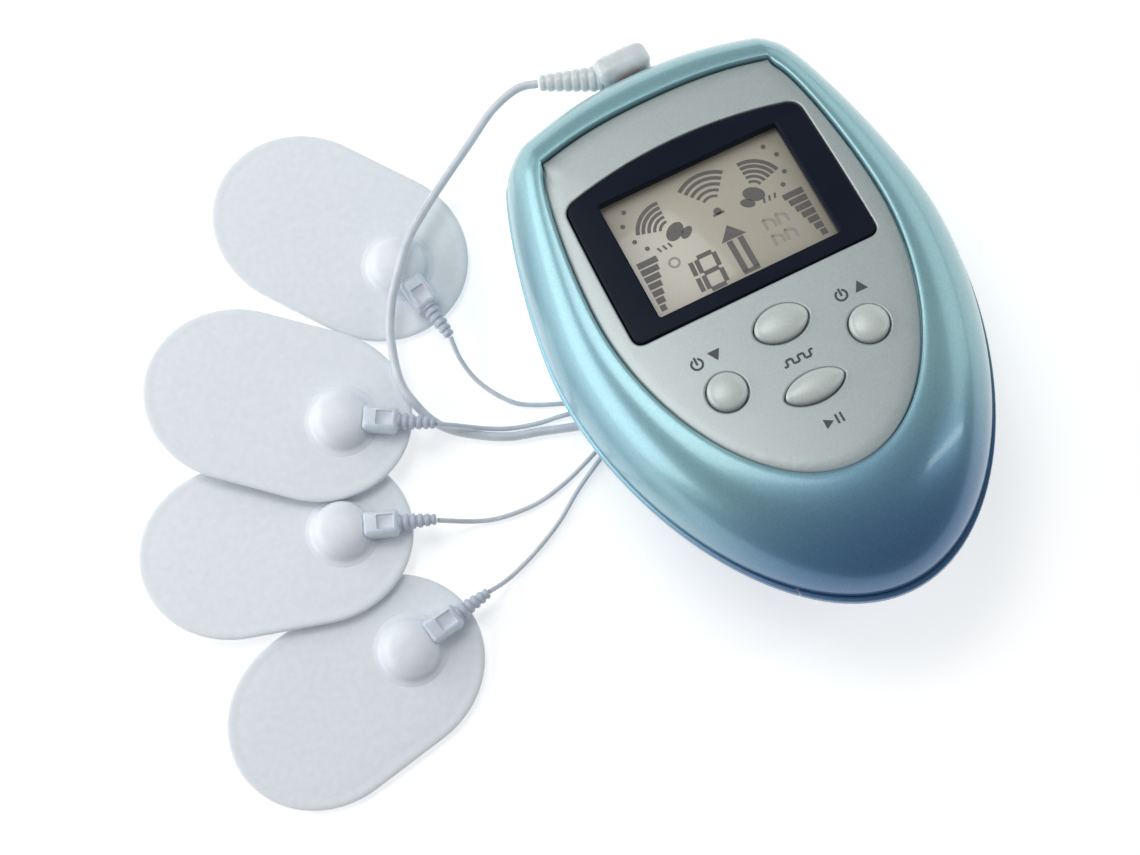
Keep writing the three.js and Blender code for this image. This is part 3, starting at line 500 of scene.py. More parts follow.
LEAD_ROUTES = [
    [(-10.1, 16.5, 4), (-10.2, 12.3, 2.4), (-9.2, 7.6, 0.8), (-6.8, 2.8, 0.6), (-3.9, -0.7, 0.6),
     (-0.4, -2.8, 0.6), (3.1, -4.3, 0.6), (9, -6.9, 0.6), (15, -9.4, 0.6), (21.4, -10.6, 0.6)],
    [(-20.4, 1.1, 6.75), (-18.2, 0.2, 5.4), (-15.4, -1, 3.3), (-12, -2.6, 1.4), (-7.6, -4.6, 0.6),
     (-2, -6.2, 0.6), (3.8, -7.1, 0.6), (9.5, -8.9, 0.6), (14.8, -10.9, 0.6), (20, -11.65, 0.6)],
    [(-28.3, -16, 5.1), (-25.6, -17.1, 3.4), (-22.8, -18.2, 1.7), (-19.4, -19.4, 0.7), (-16, -20.2, 0.6),
     (-9.3, -20.6, 0.6), (-2.8, -19.4, 0.6), (4.4, -16.9, 0.6), (9.4, -14.8, 0.6), (14, -13.1, 0.6),
     (19, -12.7, 0.6)],
    [(-25.4, -32.8, 3.9), (-23, -32.3, 2.3), (-20.2, -31.5, 0.9), (-17, -30.4, 0.6), (-13.9, -29.2, 0.6),
     (-7.1, -25.9, 0.6), (-0.8, -21.7, 0.6), (5.2, -18.4, 0.6), (9.8, -16.1, 0.6), (14, -14.3, 0.6),
     (18.3, -13.8, 0.6)]]
TURN_POINTS = 16
CROSS_OVER = 0.2  # share of a turn that the cord takes to change its place in the coil
LEAD_PITCH = 1.04  # between neighbouring leads where they enter the splitter
RISE_START = 5.5  # where the leads start to rise to the splitter, along the run
ahead = Vector((math.cos(TANGENT), math.sin(TANGENT), 0))
aside = Vector((-ahead.y, ahead.x, 0))


def on_line(along, across, z):
    """A point of the straight run from the lead coil to the trunk coil."""
    return Vector((LEAD_COIL.x, LEAD_COIL.y, z)) + ahead * along + aside * across


def coil_point(coil, radius, t, rise):
    return Vector((coil.x + radius * math.cos(t), coil.y + radius * math.sin(t), coil.low + rise))


def smooth_step(t):
    t = min(max(t, 0), 1)
    return t * t * (3 - 2 * t)


def trunk_coil_turn(number):
    """Radius and layer of one turn: the turns go out and in by pairs, from the top layer down."""
    return TRUNK_COIL.radii[(number + 1) // 2 % 2], TRUNK_COIL.layers - 1 - number // 2


def trunk_points():
    """The whole trunk: the shown route, the coil from its top layer down, and the run to the splitter."""
    coil = TRUNK_COIL
    start, end = math.radians(coil.start), TANGENT - math.pi / 2 - 2 * math.pi
    turns = coil.turns + ((start - end) / (2 * math.pi)) % 1
    points = [Vector(p) for p in TRUNK_ROUTE]
    steps = int(turns * TURN_POINTS)
    for i in range(1, steps + 1):
        done = turns * i / steps
        turn = int(done)
        (r0, l0), (r1, l1) = trunk_coil_turn(max(turn - 1, 0)), trunk_coil_turn(turn)
        move = smooth_step((done - turn) / CROSS_OVER) if turn else 1
        radius, layer = r0 + (r1 - r0) * move, l0 + (l1 - l0) * move
        t = start - 2 * math.pi * done
        points.append(coil_point(coil, radius, t, layer * TRUNK_D))
    exit_point = points[-1]
    mouth = on_line(SPLITTER.end - SPLITTER_HOLD, SPLITTER.aside, SPLITTER.z)
    for share in (0.35, 0.7, 1):
        p = exit_point.lerp(mouth, share)
        p.z = exit_point.z + (mouth.z - exit_point.z) * smooth_step(share)
        points.append(p)
    return points


def lead_points(index):
    """One lead from the splitter, through the flat coil, to its connector."""
    coil = LEAD_COIL
    radius = coil.radii[index]
    start, end = math.pi / 2, TANGENT + math.pi / 2 - 2 * math.pi * coil.turns
    steps = int((start - end) / (2 * math.pi) * TURN_POINTS)
    points = [Vector(p) for p in LEAD_ROUTES[index]]
    for i in range(steps + 1):
        t = start + (end - start) * i / steps
        rise = coil.rise * (start - t) / (2 * math.pi)
        points.append(coil_point(coil, radius, t, rise))
    top = points[-1].z
    spread = SPLITTER.aside + (1.5 - index) * LEAD_PITCH
    for along in (3, 6.6, 9.2, SPLITTER.start + SPLITTER_HOLD):
        share = smooth_step((along - RISE_START) / (SPLITTER.start - RISE_START))
        across = radius + (spread - radius) * smooth_step(along / SPLITTER.start)
        points.append(on_line(along, across, top + (SPLITTER.z - top) * share))
    return points[::-1]


def curve_length(points):
    return sum((b - a).length for a, b in zip(points, points[1:]))


PATH_STEP = 1.1


def smooth_path(points, spacing):
    """Points close together on a centripetal Catmull-Rom curve through the given ones."""
    p = [2 * points[0] - points[1], *points, 2 * points[-1] - points[-2]]
    out = []
    for i in range(1, len(p) - 2):
        t = [0.0]
        for a, b in zip(p[i - 1:i + 3], p[i:i + 3]):
            t.append(t[-1] + max((b - a).length, 1e-6) ** 0.5)
        n = max(1, round((p[i + 1] - p[i]).length / spacing))
        for k in range(n):
            s = t[1] + (t[2] - t[1]) * k / n
            level = [p[i - 1], p[i], p[i + 1], p[i + 2]]
            for gap in (1, 2):
                level = [((t[j + gap] - s) * level[j] + (s - t[j]) * level[j + 1]) / (t[j + gap] - t[j])
                         for j in range(len(level) - 1)]
            a, b = level
            out.append(((t[2] - s) * a + (s - t[1]) * b) / (t[2] - t[1]))
    return out + [points[-1]]


def cord_piece(name, points, diameter):
    path = smooth_path(points, PATH_STEP)
    data = bpy.data.curves.new(name, "CURVE")
    data.dimensions = "3D"
    data.bevel_depth = diameter / 2 * MM
    data.bevel_resolution = 4
    data.use_fill_caps = True
    spline = data.splines.new("POLY")
    spline.points.add(len(path) - 1)
    for point, place in zip(spline.points, path):
        point.co = (*(place * MM), 1)
    spline.use_smooth = True
    data.materials.append(CORD_LILAC)
    piece = bpy.data.objects.new(name, data)
    link(piece)
    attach(piece, LEAD_SET)
    return piece, curve_length(path) * MM, [p * MM for p in path]


trunk, trunk_length, trunk_path = cord_piece("trunk_cord", trunk_points(), TRUNK_D)
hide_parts("trunk_cable", "trunk_coil")
leads = []
for number in range(4):
    lead, lead_length, lead_path = cord_piece(f"lead_cord_{number + 1}", lead_points(number), LEAD_D)
    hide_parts(f"lead_{number + 1}", *(["lead_coil"] if number == 0 else []))
    leads.append((lead, lead_length, lead_path))


# ---- splitter and plug
def ribbed(length, big, small, ribs, depth):
    """The profile of a ribbed, tapering boot."""
    pitch = length / (ribs + 0.5)
    profile = [(0, 0), (0, big), (pitch * 0.5, big - (big - small) * 0.5 * pitch / length)]
    for rib in range(ribs):
        groove = (rib + 0.5) * pitch
        outer = big + (small - big) * groove / length
        inner = outer * (1 - depth)
        profile += [(groove + share * pitch, radius) for share, radius in (
            (0.02, outer), (0.1, inner), (0.38, inner), (0.46, outer * 0.99), (0.98, outer * 0.97))]
    return [p for p in profile if p[0] <= length - 0.05] + [(length, small), (length, 0)]


def splitter_rings(sides=40, squareness=0.6):
    """Rounded oblong sections along X, from the leads' end to the trunk's."""
    half = (SPLITTER.end - SPLITTER.start) / 2
    sections = [(-half, 3.9, 1.1), (-half + 0.2, 4.4, 1.8), (-half + 0.9, 4.9, 3.0), (-half + 2, 5.1, 3.5),
                (0, 5.1, 3.5), (half - 3.5, 4.9, 3.4), (half - 1.6, 3.6, 3.0), (half - 0.2, 2.7, 2.5),
                (half, 2.3, 2.1)]
    rings = []
    for along, width, height in sections:
        ring = []
        for i in range(sides):
            t = 2 * math.pi * i / sides
            c, s = math.cos(t), math.sin(t)
            ring.append((along, width / 2 * math.copysign(abs(c) ** squareness, c),
                         height / 2 * math.copysign(abs(s) ** squareness, s)))
        rings.append(ring)
    return rings


split_middle = on_line((SPLITTER.start + SPLITTER.end) / 2, SPLITTER.aside, SPLITTER.z)
split_place = Matrix.Translation(split_middle * MM) @ Matrix.Rotation(TANGENT, 4, "Z")
splitter = add("splitter_body", *loft(splitter_rings()), CONNECTOR_WHITE, LEAD_SET, split_place)
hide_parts("lead_splitter")

JACK = Spec(x=1.5, z=11)
PLUG_SIZE = (11.5, 5.8, 8.4, 2.1)
PLUG_BOOT = dict(length=12.9, big=2.75, small=1.6, ribs=7, depth=0.11)

plug_head = soft_piece("plug_head", PLUG_SIZE, 7, (0.75, 62, JACK.z), PLUG_GREY, LEAD_SET, case_place)
BOOT_ANGLE = 157
boot_place = shifted(case_place, -3.5, 61.9, JACK.z) @ turn_by(BOOT_ANGLE)
plug_boot = add("plug_boot", *turned(rounded(ribbed(**PLUG_BOOT)), 40, "X"), PLUG_GREY, LEAD_SET, boot_place)
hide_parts("plug_body")
# grip ridges on the plug's outer face
for step in range(4):
    ridge = tube(f"plug_grip_{step + 1}", -2.6, 2.6, 0.32, 16, "Z", PLUG_GREY, LEAD_SET,
                 shifted(case_place, -1.8 + 1.5 * step, 64.82, JACK.z))


# ---- pads, domes and connectors
PAD_SHAPE = Spec(half_length=27, half_width=17.5, end=19)


def pad_line(shrink, count=48):
    straight = PAD_SHAPE.half_length - PAD_SHAPE.end
    turns = np.linspace(-math.pi / 2, math.pi / 2, count)
    x = straight + (PAD_SHAPE.end - shrink) * np.cos(turns)
    y = (PAD_SHAPE.half_width - shrink) * np.sin(turns)
    end = np.stack([x, y], 1)
    return np.vstack([end, -end])


def pad_film():
    """Soft laminated film: rounded edge, a faint pressed border and a slightly full middle."""
    tops = [(0.0, FILM_BASE), (-0.02, FILM_BASE + 0.2), (-0.02, 1.15), (0.12, 1.4), (0.4, 1.53), (0.9, 1.58),
            (1.5, 1.58), (1.9, 1.56), (2.3, 1.56), (2.8, 1.585), (4, 1.62), (7, 1.64), (11, 1.65), (14, 1.65)]
    rings = [flat_ring(pad_line(0.3), FILM_BASE)] + [flat_ring(pad_line(s), z) for s, z in tops]
    return loft(rings)


DOME = Spec(radius=5.7, shoulder=1.1, rise=3.1, fullness=0.7)
DOME_BORE = (-2.2, 10, 1.1)  # start, end and radius, as for the channel below
PIN_CHANNEL = (3, 10.9, 1.3)
CONNECTOR_SIZE, CONNECTOR_X, HUG_CLEARANCE = (7, 5, 3.8, 0.9), 7.8, 0.15
POCKET_SIZE, POCKET_PLACE = (3.4, 3, 1, 0.3), (8.6, 0, 2.05)
CONNECTOR_BOOT = dict(length=7.6, big=1.75, small=1.02, ribs=5, depth=0.22)


def dome_cap_curve(radius, rise, steps):
    """The rounded top of the dome, from its shoulder to the axis."""
    curve = []
    for step in range(1, steps + 1):
        t = math.pi / 2 * step / steps
        curve.append((DOME.shoulder + rise * math.sin(t),
                      radius * math.cos(t) ** DOME.fullness if step < steps else 0))
    return curve


def dome_profile():
    """Height above the film and radius of a moulded dome with a flared foot."""
    foot = [(-0.16, 0), (-0.16, 7.6), (-0.08, 7.5), (0.02, 6.9), (0.18, 6.35), (0.5, 5.95),
            (DOME.shoulder, DOME.radius)]
    return foot + dome_cap_curve(DOME.radius, DOME.rise, 12)


def hug_profile():
    """The dome's outline with a little clearance, to cut the connector's block with."""
    radius = DOME.radius + HUG_CLEARANCE
    return [(-1, 0), (-1, 6.3), (DOME.shoulder, radius)] + dome_cap_curve(radius, 3.24, 8)


for number in range(4):
    here, fitting, label = pad_place(number), fitting_place(number), number + 1
    film = add(f"pad_cushion_{label}", *pad_film(), PAD_WHITE, f"pad_{label}", here, 60)
    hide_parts(f"pad_film_{label}")
    dome = add(f"dome_cap_{label}", *turned(dome_profile(), 64), DOME_WHITE, f"pad_{label}", fitting, 50)
    socket = shifted(fitting, z=SOCKET_Z)
    cut(dome, tube("bore_tool", *DOME_BORE, 32, "X", DOME_WHITE, None, socket), angle=40)
    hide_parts(f"pad_dome_{label}")

    body = soft_piece(f"connector_block_{label}", CONNECTOR_SIZE, 5, (CONNECTOR_X, 0, 0), CONNECTOR_WHITE,
                      LEAD_SET, socket)
    cut(body, add("hug_tool", *turned(hug_profile(), 64), DOME_WHITE, None, fitting))
    cut(body, soft_piece("pocket_tool", POCKET_SIZE, 3, POCKET_PLACE, DOME_WHITE, None, socket))
    cut(body, tube("pin_tool", *PIN_CHANNEL, 28, "X", DOME_WHITE, None, socket))
    boot = add(f"connector_boot_{label}", *turned(rounded(ribbed(**CONNECTOR_BOOT)), 32, "X"), BOOT_GREY,
               LEAD_SET, shifted(socket, PIN_CHANNEL[1]))
    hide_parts(f"connector_{label}")
    lead, lead_length, lead_path = leads[number]


# ---- front shell
SHELL_ANGLE = 32  # edges below this many degrees are shaded smooth
JACK_HOLE = 3.7
SEAM = 0.15  # half of the line between the two shells
FLANK_START = 0.05  # how far the flank has come in towards the plate at the seam, as a share


def front_shell_rings():
    """Up the outside to the rim, over it to the plate's ledge, and down the inside."""
    rings = []
    for t in np.linspace(0, 1, 26):
        angle = t * math.pi / 2
        share = FLANK_START + 0.92 * (1 - math.cos(angle))
        z = PARTING + SEAM + (RIM - PARTING - SEAM) * math.sin(angle)
        rings.append(flat_ring(mix_lines(case_line, plate_line, share), z))
    over_rim = [(0.985, RIM - 0.05), (0.997, RIM - 0.22), (1, RIM - 0.5), (1, RIM - 1.4), (1, PLATE_SEAT)]
    rings += [flat_ring(mix_lines(case_line, plate_line, share), z) for share, z in over_rim]
    ledge = scaled(plate_line, 0.92, 0.94, PLATE_MIDDLE)
    rings += [flat_ring(ledge, PLATE_SEAT), flat_ring(ledge, PLATE_SEAT - WALL)]
    for t in np.linspace(0.86, 0, 8):
        angle = t * math.pi / 2
        line = inset(mix_lines(case_line, plate_line, FLANK_START + 0.95 * (1 - math.cos(angle))), WALL)
        rings.append(flat_ring(line, PARTING + SEAM + (PLATE_SEAT - WALL - PARTING) * math.sin(angle)))
    return rings


def cut_jack_hole(shell):
    middle = shifted(case_place, JACK.x, z=JACK.z)
    cut(shell, tube("jack_tool", 50, 75, JACK_HOLE, 48, "Y", SHELL_BLUE, None, middle), angle=SHELL_ANGLE)


front = add("case_front", *loft(front_shell_rings(), close=True), SHELL_BLUE, CONTROLLER, case_place,
            SHELL_ANGLE)
cut_jack_hole(front)
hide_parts("front_shell")

# ---- rear shell and battery cover
# how far in towards the back's outline the skin has come, and its height
REAR_SKIN = rounded([(1, 0), (0.73, 0.7), (0.45, 2.1), (0.2, 4.1), (0.05, 6.3), (0, 7.4), (0, 8.6)], 3)
DOOR = Spec(half_width=19, top=6)
SCREWS = [(-26.5, 34), (26.5, 34), (-27, -14), (27, -14)]
SCREW_WELL = 2.5


def rear_bowl():
    rings = [flat_ring(mix_lines(case_line, back_line, share), z) for share, z in REAR_SKIN]
    rings += [flat_ring(inset(case_line, depth), z) for depth, z in ((0.12, 8.82), (0.4, 8.85), (WALL, 8.85))]
    for share, z in REAR_SKIN[::-1]:
        if z + WALL < 8.6:
            rings.append(flat_ring(inset(mix_lines(case_line, back_line, share), WALL), z + WALL))
    return rings


def door_tool(clearance, name):
    """The region of the back that belongs to the battery cover, open at the lower end."""
    side, top = DOOR.half_width + clearance, DOOR.top + clearance
    return add(name, *block((-side, -80, -5), (side, top, 15)), SHELL_LIP, None, case_place)


rear = add("case_rear", *loft(rear_bowl()), SHELL_LIP, CONTROLLER, case_place, SHELL_ANGLE)
door = add("cover_panel", *loft(rear_bowl()), SHELL_LIP, COVER, case_place, SHELL_ANGLE)
cut(rear, door_tool(GAP, "rear_tool"), angle=SHELL_ANGLE)
cut(door, door_tool(0, "door_tool"), "INTERSECT", angle=SHELL_ANGLE)
cut_jack_hole(rear)
for x, y in SCREWS:
    well = tube("well_tool", -3, 4, SCREW_WELL, 36, "Z", SHELL_LIP, None, shifted(case_place, x, y))
    cut(rear, well, angle=SHELL_ANGLE)
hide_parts("rear_shell")
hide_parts("battery_door")
# raised grips on the cover, where a thumb pushes it
for step in range(5):
    grip_size = (13 - 1.6 * abs(step - 2), 0.8, 0.8, 0.35)
    ridge = soft_piece(f"cover_grip_{step + 1}", grip_size, 3, (0, -2 - 2.1 * step, -0.02), SHELL_LIP, COVER,
                       case_place)


def open_tray():
    """The battery tray, which shows when the cover is off. Its lower end clears the curve of the back."""
    x, y0, y1, floor_z, roof_z, wall = 17, -42.8, 5.8, 2.3, 13.1, 1.1
    outer = [(-x - wall, y0 - wall), (x + wall, y0 - wall), (x + wall, y1 + wall), (-x - wall, y1 + wall)]
    inner = [(-x, y0), (x, y0), (x, y1), (-x, y1)]

    def at_floor(line):
        return [(a, b, floor_z + 2.9 if b < -30 else floor_z) for a, b in line]

    rings = [at_floor(outer), flat_ring(outer, roof_z + wall)]
    hollow = [flat_ring(inner, roof_z), at_floor(inner)]
    verts = [p for ring in rings + hollow for p in ring]
    faces = [(4, 5, 6, 7), (8, 11, 10, 9)]
    for a, b in ((0, 4), (8, 12), (12, 0)):
        for i in range(4):
            j = (i + 1) % 4
            faces.append((a + i, a + j, b + j, b + i))
    return verts, faces


tray = add("battery_tray", *open_tray(), SHELL_LIP, CONTROLLER, case_place)


# ---- face plate with its openings
def lens_line(steps=14):
    """The window's outline: a straight foot, slightly bowed sides, rounded corners and an arched top."""
    top, shoulder, foot, half_top, half_foot, soft = 37.1, 33.3, 0.7, 25.4, 25.9, 2.4
    bow, bow_y = 0.55, 18
    arc = shoulder + soft * 0.35
    right = [
        [(half_foot - soft, foot), (half_foot, foot), (half_foot, foot + soft)],
        [(half_foot, foot + soft), (half_top + bow, bow_y), (half_top, shoulder - soft)],
        [(half_top, shoulder - soft), (half_top, shoulder), (half_top - soft, arc)],
    ]
    left = [[(-x, y) for x, y in line[::-1]] for line in right[::-1]]
    straight = [(-half_foot + soft, foot), (half_foot - soft, foot)]
    arch = [(half_top - soft, arc), (0, 2 * top - arc), (-half_top + soft, arc)]
    out = []
    for line in [straight, *right, arch, *left]:
        p = np.array(line, float)
        t = np.linspace(0, 1, steps, endpoint=False)[:, None]
        if len(p) == 2:
            out.append(p[0] + (p[1] - p[0]) * t)
        else:
            out.append((1 - t) ** 2 * p[0] + 2 * (1 - t) * t * p[1] + t ** 2 * p[2])
    return np.vstack(out)


def oval(half_x, half_y, power, count=64):
    t = np.arange(count) / count * 2 * math.pi
    s = np.sin(t)
    return np.stack([half_x * np.cos(t), half_y * np.sign(s) * np.abs(s) ** (2 / power)], 1)


# name, centre, half sizes and the oval's power: 2 is an ellipse, less is more pointed
BUTTONS = [("button_down", -14.9, -15.2, 3.8, 3.8, 2), ("button_up", 14.9, -15.2, 3.8, 3.8, 2),
           ("button_mode", 0.4, -7.5, 5.4, 3.6, 1.8), ("button_start_pause", 0, -21.8, 6, 2.9, 1.65)]
PLATE_GRID = 1.6  # between the points that follow the plate's dome


def pierced_plate(outer, holes, height, bottom, soften):
    """A closed slab whose top follows height(x, y), with softened edges round it and round its holes."""
    loops = [(outer, 1)] + [(h, -1) for h in holes]
    points, edges, drops = [], [], []
    for line, side in loops:
        for distance, drop in soften:
            start = len(points)
            moved = inset(line, side * distance) if distance else line
            points += [tuple(p) for p in moved]
            drops += [drop] * len(moved)
            edges += [(start + i, start + (i + 1) % len(moved)) for i in range(len(moved))]
    low, high = np.array(points).min(0), np.array(points).max(0)
    for x in np.arange(low[0], high[0], PLATE_GRID):
        for y in np.arange(low[1], high[1], PLATE_GRID):
            points.append((x, y))
            drops.append(0)
    flat, _, triangles, origins, *_ = delaunay_2d_cdt([Vector(p) for p in points], edges, [], 0, 1e-5)
    drop_of = [max([drops[s] for s in sources], default=0) for sources in origins]
    inside = []
    for tri in triangles:
        centre = sum((flat[i] for i in tri), Vector((0, 0))) / 3
        if within(outer, centre) and not any(within(h, centre) for h in holes):
            inside.append(tri)
    used = sorted({i for tri in inside for i in tri})
    index = {old: new for new, old in enumerate(used)}
    top = [(flat[i].x, flat[i].y, height(flat[i].x, flat[i].y) - drop_of[i]) for i in used]
    verts = top + [(x, y, bottom) for x, y, _ in top]
    count = len(top)
    faces = [tuple(index[i] for i in tri) for tri in inside]
    sides = dict.fromkeys(pair for a, b, c in faces for pair in ((a, b), (b, c), (c, a)))
    border = [pair for pair in sides if (pair[1], pair[0]) not in sides]
    faces += [tuple(count + i for i in face[::-1]) for face in faces]
    faces += [(b, a, count + a, count + b) for a, b in border]
    return verts, faces


def within(line, point):
    x, y = point
    a, b = line, np.roll(line, -1, 0)
    crosses = (a[:, 1] > y) != (b[:, 1] > y)
    rise = np.where(b[:, 1] == a[:, 1], 1e-12, b[:, 1] - a[:, 1])
    meets = a[:, 0] + (y - a[:, 1]) / rise * (b[:, 0] - a[:, 0])
    return bool(np.count_nonzero(crosses & (x < meets)) % 2)


# how far in from an edge, and how far down the surface is there
EDGE = [(0, 0.28), (0.06, 0.13), (0.16, 0.04), (0.3, 0.0), (0.45, 0.0)]
lens_edge = lens_line()
holes = [lens_edge] + [oval(a + GAP, b + GAP, p) + (x, y) for _, x, y, a, b, p in BUTTONS]
plate = add("plate_panel",
            *pierced_plate(inset(plate_line, GAP), holes, plate_height, PLATE_SEAT + GAP, EDGE),
            PLATE_GREY, CONTROLLER, case_place, 40)
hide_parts("face_plate")

# the window: a gloss black border round the display
DISPLAY = Spec(left=-19.1, right=19.1, low=4.3, high=30.9)


def display_line():
    soft, steps = 0.5, 5
    left, right = DISPLAY.left + soft, DISPLAY.right - soft
    low, high = DISPLAY.low + soft, DISPLAY.high - soft
    out = []
    for cx, cy, start in [(right, low, -90), (right, high, 0), (left, high, 90), (left, low, 180)]:
        for k in range(steps):
            t = math.radians(start + 90 * k / (steps - 1))
            out.append((cx + soft * math.cos(t), cy + soft * math.sin(t)))
    return np.array(out)


def window_height(x, y):
    return 22.86


WINDOW_BOTTOM = 21
border = add("window_border",
             *pierced_plate(inset(lens_edge, GAP), [display_line()], window_height, WINDOW_BOTTOM, EDGE),
             WINDOW_BLACK, CONTROLLER, case_place, 40)
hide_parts("display_window")

# ---- display
LCD_TOP = 20.2
LCD_SIZE = (43, 31, 2.8, 0.25)
lcd = soft_piece("lcd_glass_panel", LCD_SIZE, 2, (0, 17.6, LCD_TOP - LCD_SIZE[2] / 2), LCD_BEIGE, CONTROLLER,
                 case_place)
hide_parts("lcd_panel")


class Marks:
    """Collects flat marks into one mesh."""

    def __init__(self, z, thick):
        self.verts, self.faces, self.z, self.thick = [], [], z, thick

    def shape(self, outline):
        z = self.z(*np.mean(outline, 0)) if callable(self.z) else self.z
        verts, faces = loft([flat_ring(outline, z), flat_ring(outline, z + self.thick)])
        start = len(self.verts)
        self.verts += verts
        self.faces += [tuple(start + i for i in face) for face in faces]

    def bar(self, a, b, width):
        a, b = np.array(a, float), np.array(b, float)
        along = (b - a) / np.linalg.norm(b - a)
        side = np.array((-along[1], along[0])) * width / 2
        self.shape(np.array([a - side, b - side, b + side, a + side]))

    def arc(self, centre, radius, start, end, width, steps):
        t = np.radians(np.linspace(start, end, steps))
        inner, outer = (np.stack([centre[0] + r * np.cos(t), centre[1] + r * np.sin(t)], 1)
                        for r in (radius - width / 2, radius + width / 2))
        for k in range(steps - 1):
            self.shape(np.array([inner[k], outer[k], outer[k + 1], inner[k + 1]]))

    def disc(self, centre, rx, ry=None, turn=0, steps=20):
        t = np.linspace(0, 2 * math.pi, steps, endpoint=False)
        c, s = math.cos(math.radians(turn)), math.sin(math.radians(turn))
        x, y = rx * np.cos(t), (ry or rx) * np.sin(t)
        self.shape(np.stack([centre[0] + c * x - s * y, centre[1] + s * x + c * y], 1))

    def done(self, name, material, slot_name):
        add(name, self.verts, self.faces, material, CONTROLLER, case_place)


def at(a, b):
    """A point of the display, from its top left corner, as shares of its width and height."""
    return (DISPLAY.left + a * (DISPLAY.right - DISPLAY.left),
            DISPLAY.high - b * (DISPLAY.high - DISPLAY.low))


MARK_SINK = 0.02  # how deep a mark's underside sits, so that no gap shows
ink = Marks(LCD_TOP - MARK_SINK, 0.06)
# three fans of arcs: middle, direction in degrees, first radius and the step to the next
for centre, middle, first, pitch in [((0.275, 0.37), 125, 1.9, 1.1), ((0.53, 0.36), 90, 2.4, 1.3),
                                     ((0.745, 0.37), 55, 1.9, 1.1)]:
    for step in range(5):
        ink.arc(at(*centre), first + pitch * step, middle - 38, middle + 38, 0.56 + 0.06 * step, 9)
for centre, turn in [((0.29, 0.40), 35), ((0.735, 0.40), -35)]:
    ink.disc(at(*centre), 2.2, 1.5, turn)
    ink.disc(at(centre[0] + math.copysign(0.05, turn), centre[1] + 0.045), 1.5, 0.9, turn)
for a, b in [(0.11, 0.09), (0.07, 0.19), (0.085, 0.34), (0.125, 0.43),
             (0.90, 0.09), (0.94, 0.19), (0.93, 0.34), (0.89, 0.43)]:
    ink.disc(at(a, b), 0.48)
for k in range(3):
    ink.bar(at(0.17 + 0.03 * k, 0.46), at(0.18 + 0.03 * k, 0.50), 0.42)
    ink.bar(at(0.83 - 0.03 * k, 0.46), at(0.82 - 0.03 * k, 0.50), 0.42)
ink.disc(at(0.53, 0.40), 0.8)
ink.bar(at(0.50, 0.42), at(0.56, 0.42), 0.5)
# wedges of bars at both sides, as level meters
for side, base in ((0.035, 1), (0.965, -1)):
    for k in range(7):
        width = 0.11 - 0.013 * k
        ink.bar(at(side, 0.53 + 0.062 * k), at(side + base * width, 0.53 + 0.062 * k), 1.3)


def digit(a, b, segments, height=7.2, width=3.7, slant=0.06):
    """A seven-segment digit, with the segments lettered clockwise from the top and g in the middle."""
    x, y = at(a, b)
    ends = {"a": ((0, 1), (1, 1)), "b": ((1, 1), (1, 0.5)), "c": ((1, 0.5), (1, 0)), "d": ((0, 0), (1, 0)),
            "e": ((0, 0.5), (0, 0)), "f": ((0, 1), (0, 0.5)), "g": ((0, 0.5), (1, 0.5))}
    for name in segments:
        p, q = (np.array((x + (i - 0.5) * width + slant * (j - 0.5) * height, y + (j - 0.5) * height))
                for i, j in ends[name])
        trim = (q - p) / np.linalg.norm(q - p) * 0.3
        ink.bar(p + trim, q - trim, 0.95)


digit(0.225, 0.80, "bc")
digit(0.355, 0.80, "abcdefg")
# an arrow over two pillars in the middle
tip = at(0.535, 0.53)
ink.shape(np.array([tip, (tip[0] - 2.6, tip[1] - 3.1), (tip[0] + 2.6, tip[1] - 3.1)]))
for side in (-1.15, 1.15):
    ink.bar((tip[0] + side, tip[1] - 3.3), (tip[0] + side, tip[1] - 10.4), 1.2)
ink.bar((tip[0] - 1.7, tip[1] - 10.6), (tip[0] + 1.7, tip[1] - 10.6), 0.8)
ink.done("lcd_marks", LCD_INK, "window")
ghost = Marks(LCD_TOP - MARK_SINK, 0.05)
for a, b in [(0.73, 0.66), (0.80, 0.66), (0.73, 0.80), (0.80, 0.80)]:
    x, y = at(a, b)
    ghost.bar((x - 0.9, y - 1.2), (x - 0.9, y + 1.2), 0.6)
    ghost.bar((x - 0.9, y + 1.2), (x + 0.9, y + 0.4), 0.6)
    ghost.bar((x + 0.9, y + 0.4), (x + 0.9, y - 1.2), 0.6)
ghost.arc(at(0.21, 0.62), 1.0, 0, 360, 0.45, 14)
ghost.done("lcd_faint_marks", LCD_GHOST, "window")


# ---- printed symbols on the plate
def on_plate(x, y):
    return plate_height(x, y) - 0.015


symbols = Marks(on_plate, 0.045)


def triangle(x, y, size, turn):
    t = np.radians(np.array((90, 210, 330)) + turn)
    symbols.shape(np.stack([x + size * np.cos(t), y + size * np.sin(t)], 1))


def power_mark(x):
    symbols.arc((x, -7.6), 1.1, 115, 425, LINE, 18)
    symbols.bar((x, -6.1), (x, -7.8), LINE)


LINE = 0.46
power_mark(-17.3)
triangle(-13.4, -7.2, 1.5, 180)
power_mark(13.1)
triangle(17, -7.7, 1.5, 0)
# a pulse wave for the mode key, and play and pause for the lowest one
wave = [(-3.2, -15.9), (-2.4, -15.9), (-2.4, -14.7), (-1.2, -14.7), (-1.2, -15.9), (0, -15.9), (0, -14.7),
        (1.2, -14.7), (1.2, -15.9), (2.4, -15.9), (2.4, -14.7), (3.2, -14.7)]
for a, b in zip(wave, wave[1:]):
    symbols.bar(a, b, LINE)
triangle(-1.3, -29.4, 1.2, -90)
for x in (0.6, 1.6):
    symbols.bar((x, -28.4), (x, -30.4), 0.45)
symbols.done("plate_symbols", PRINT_INK, "window")

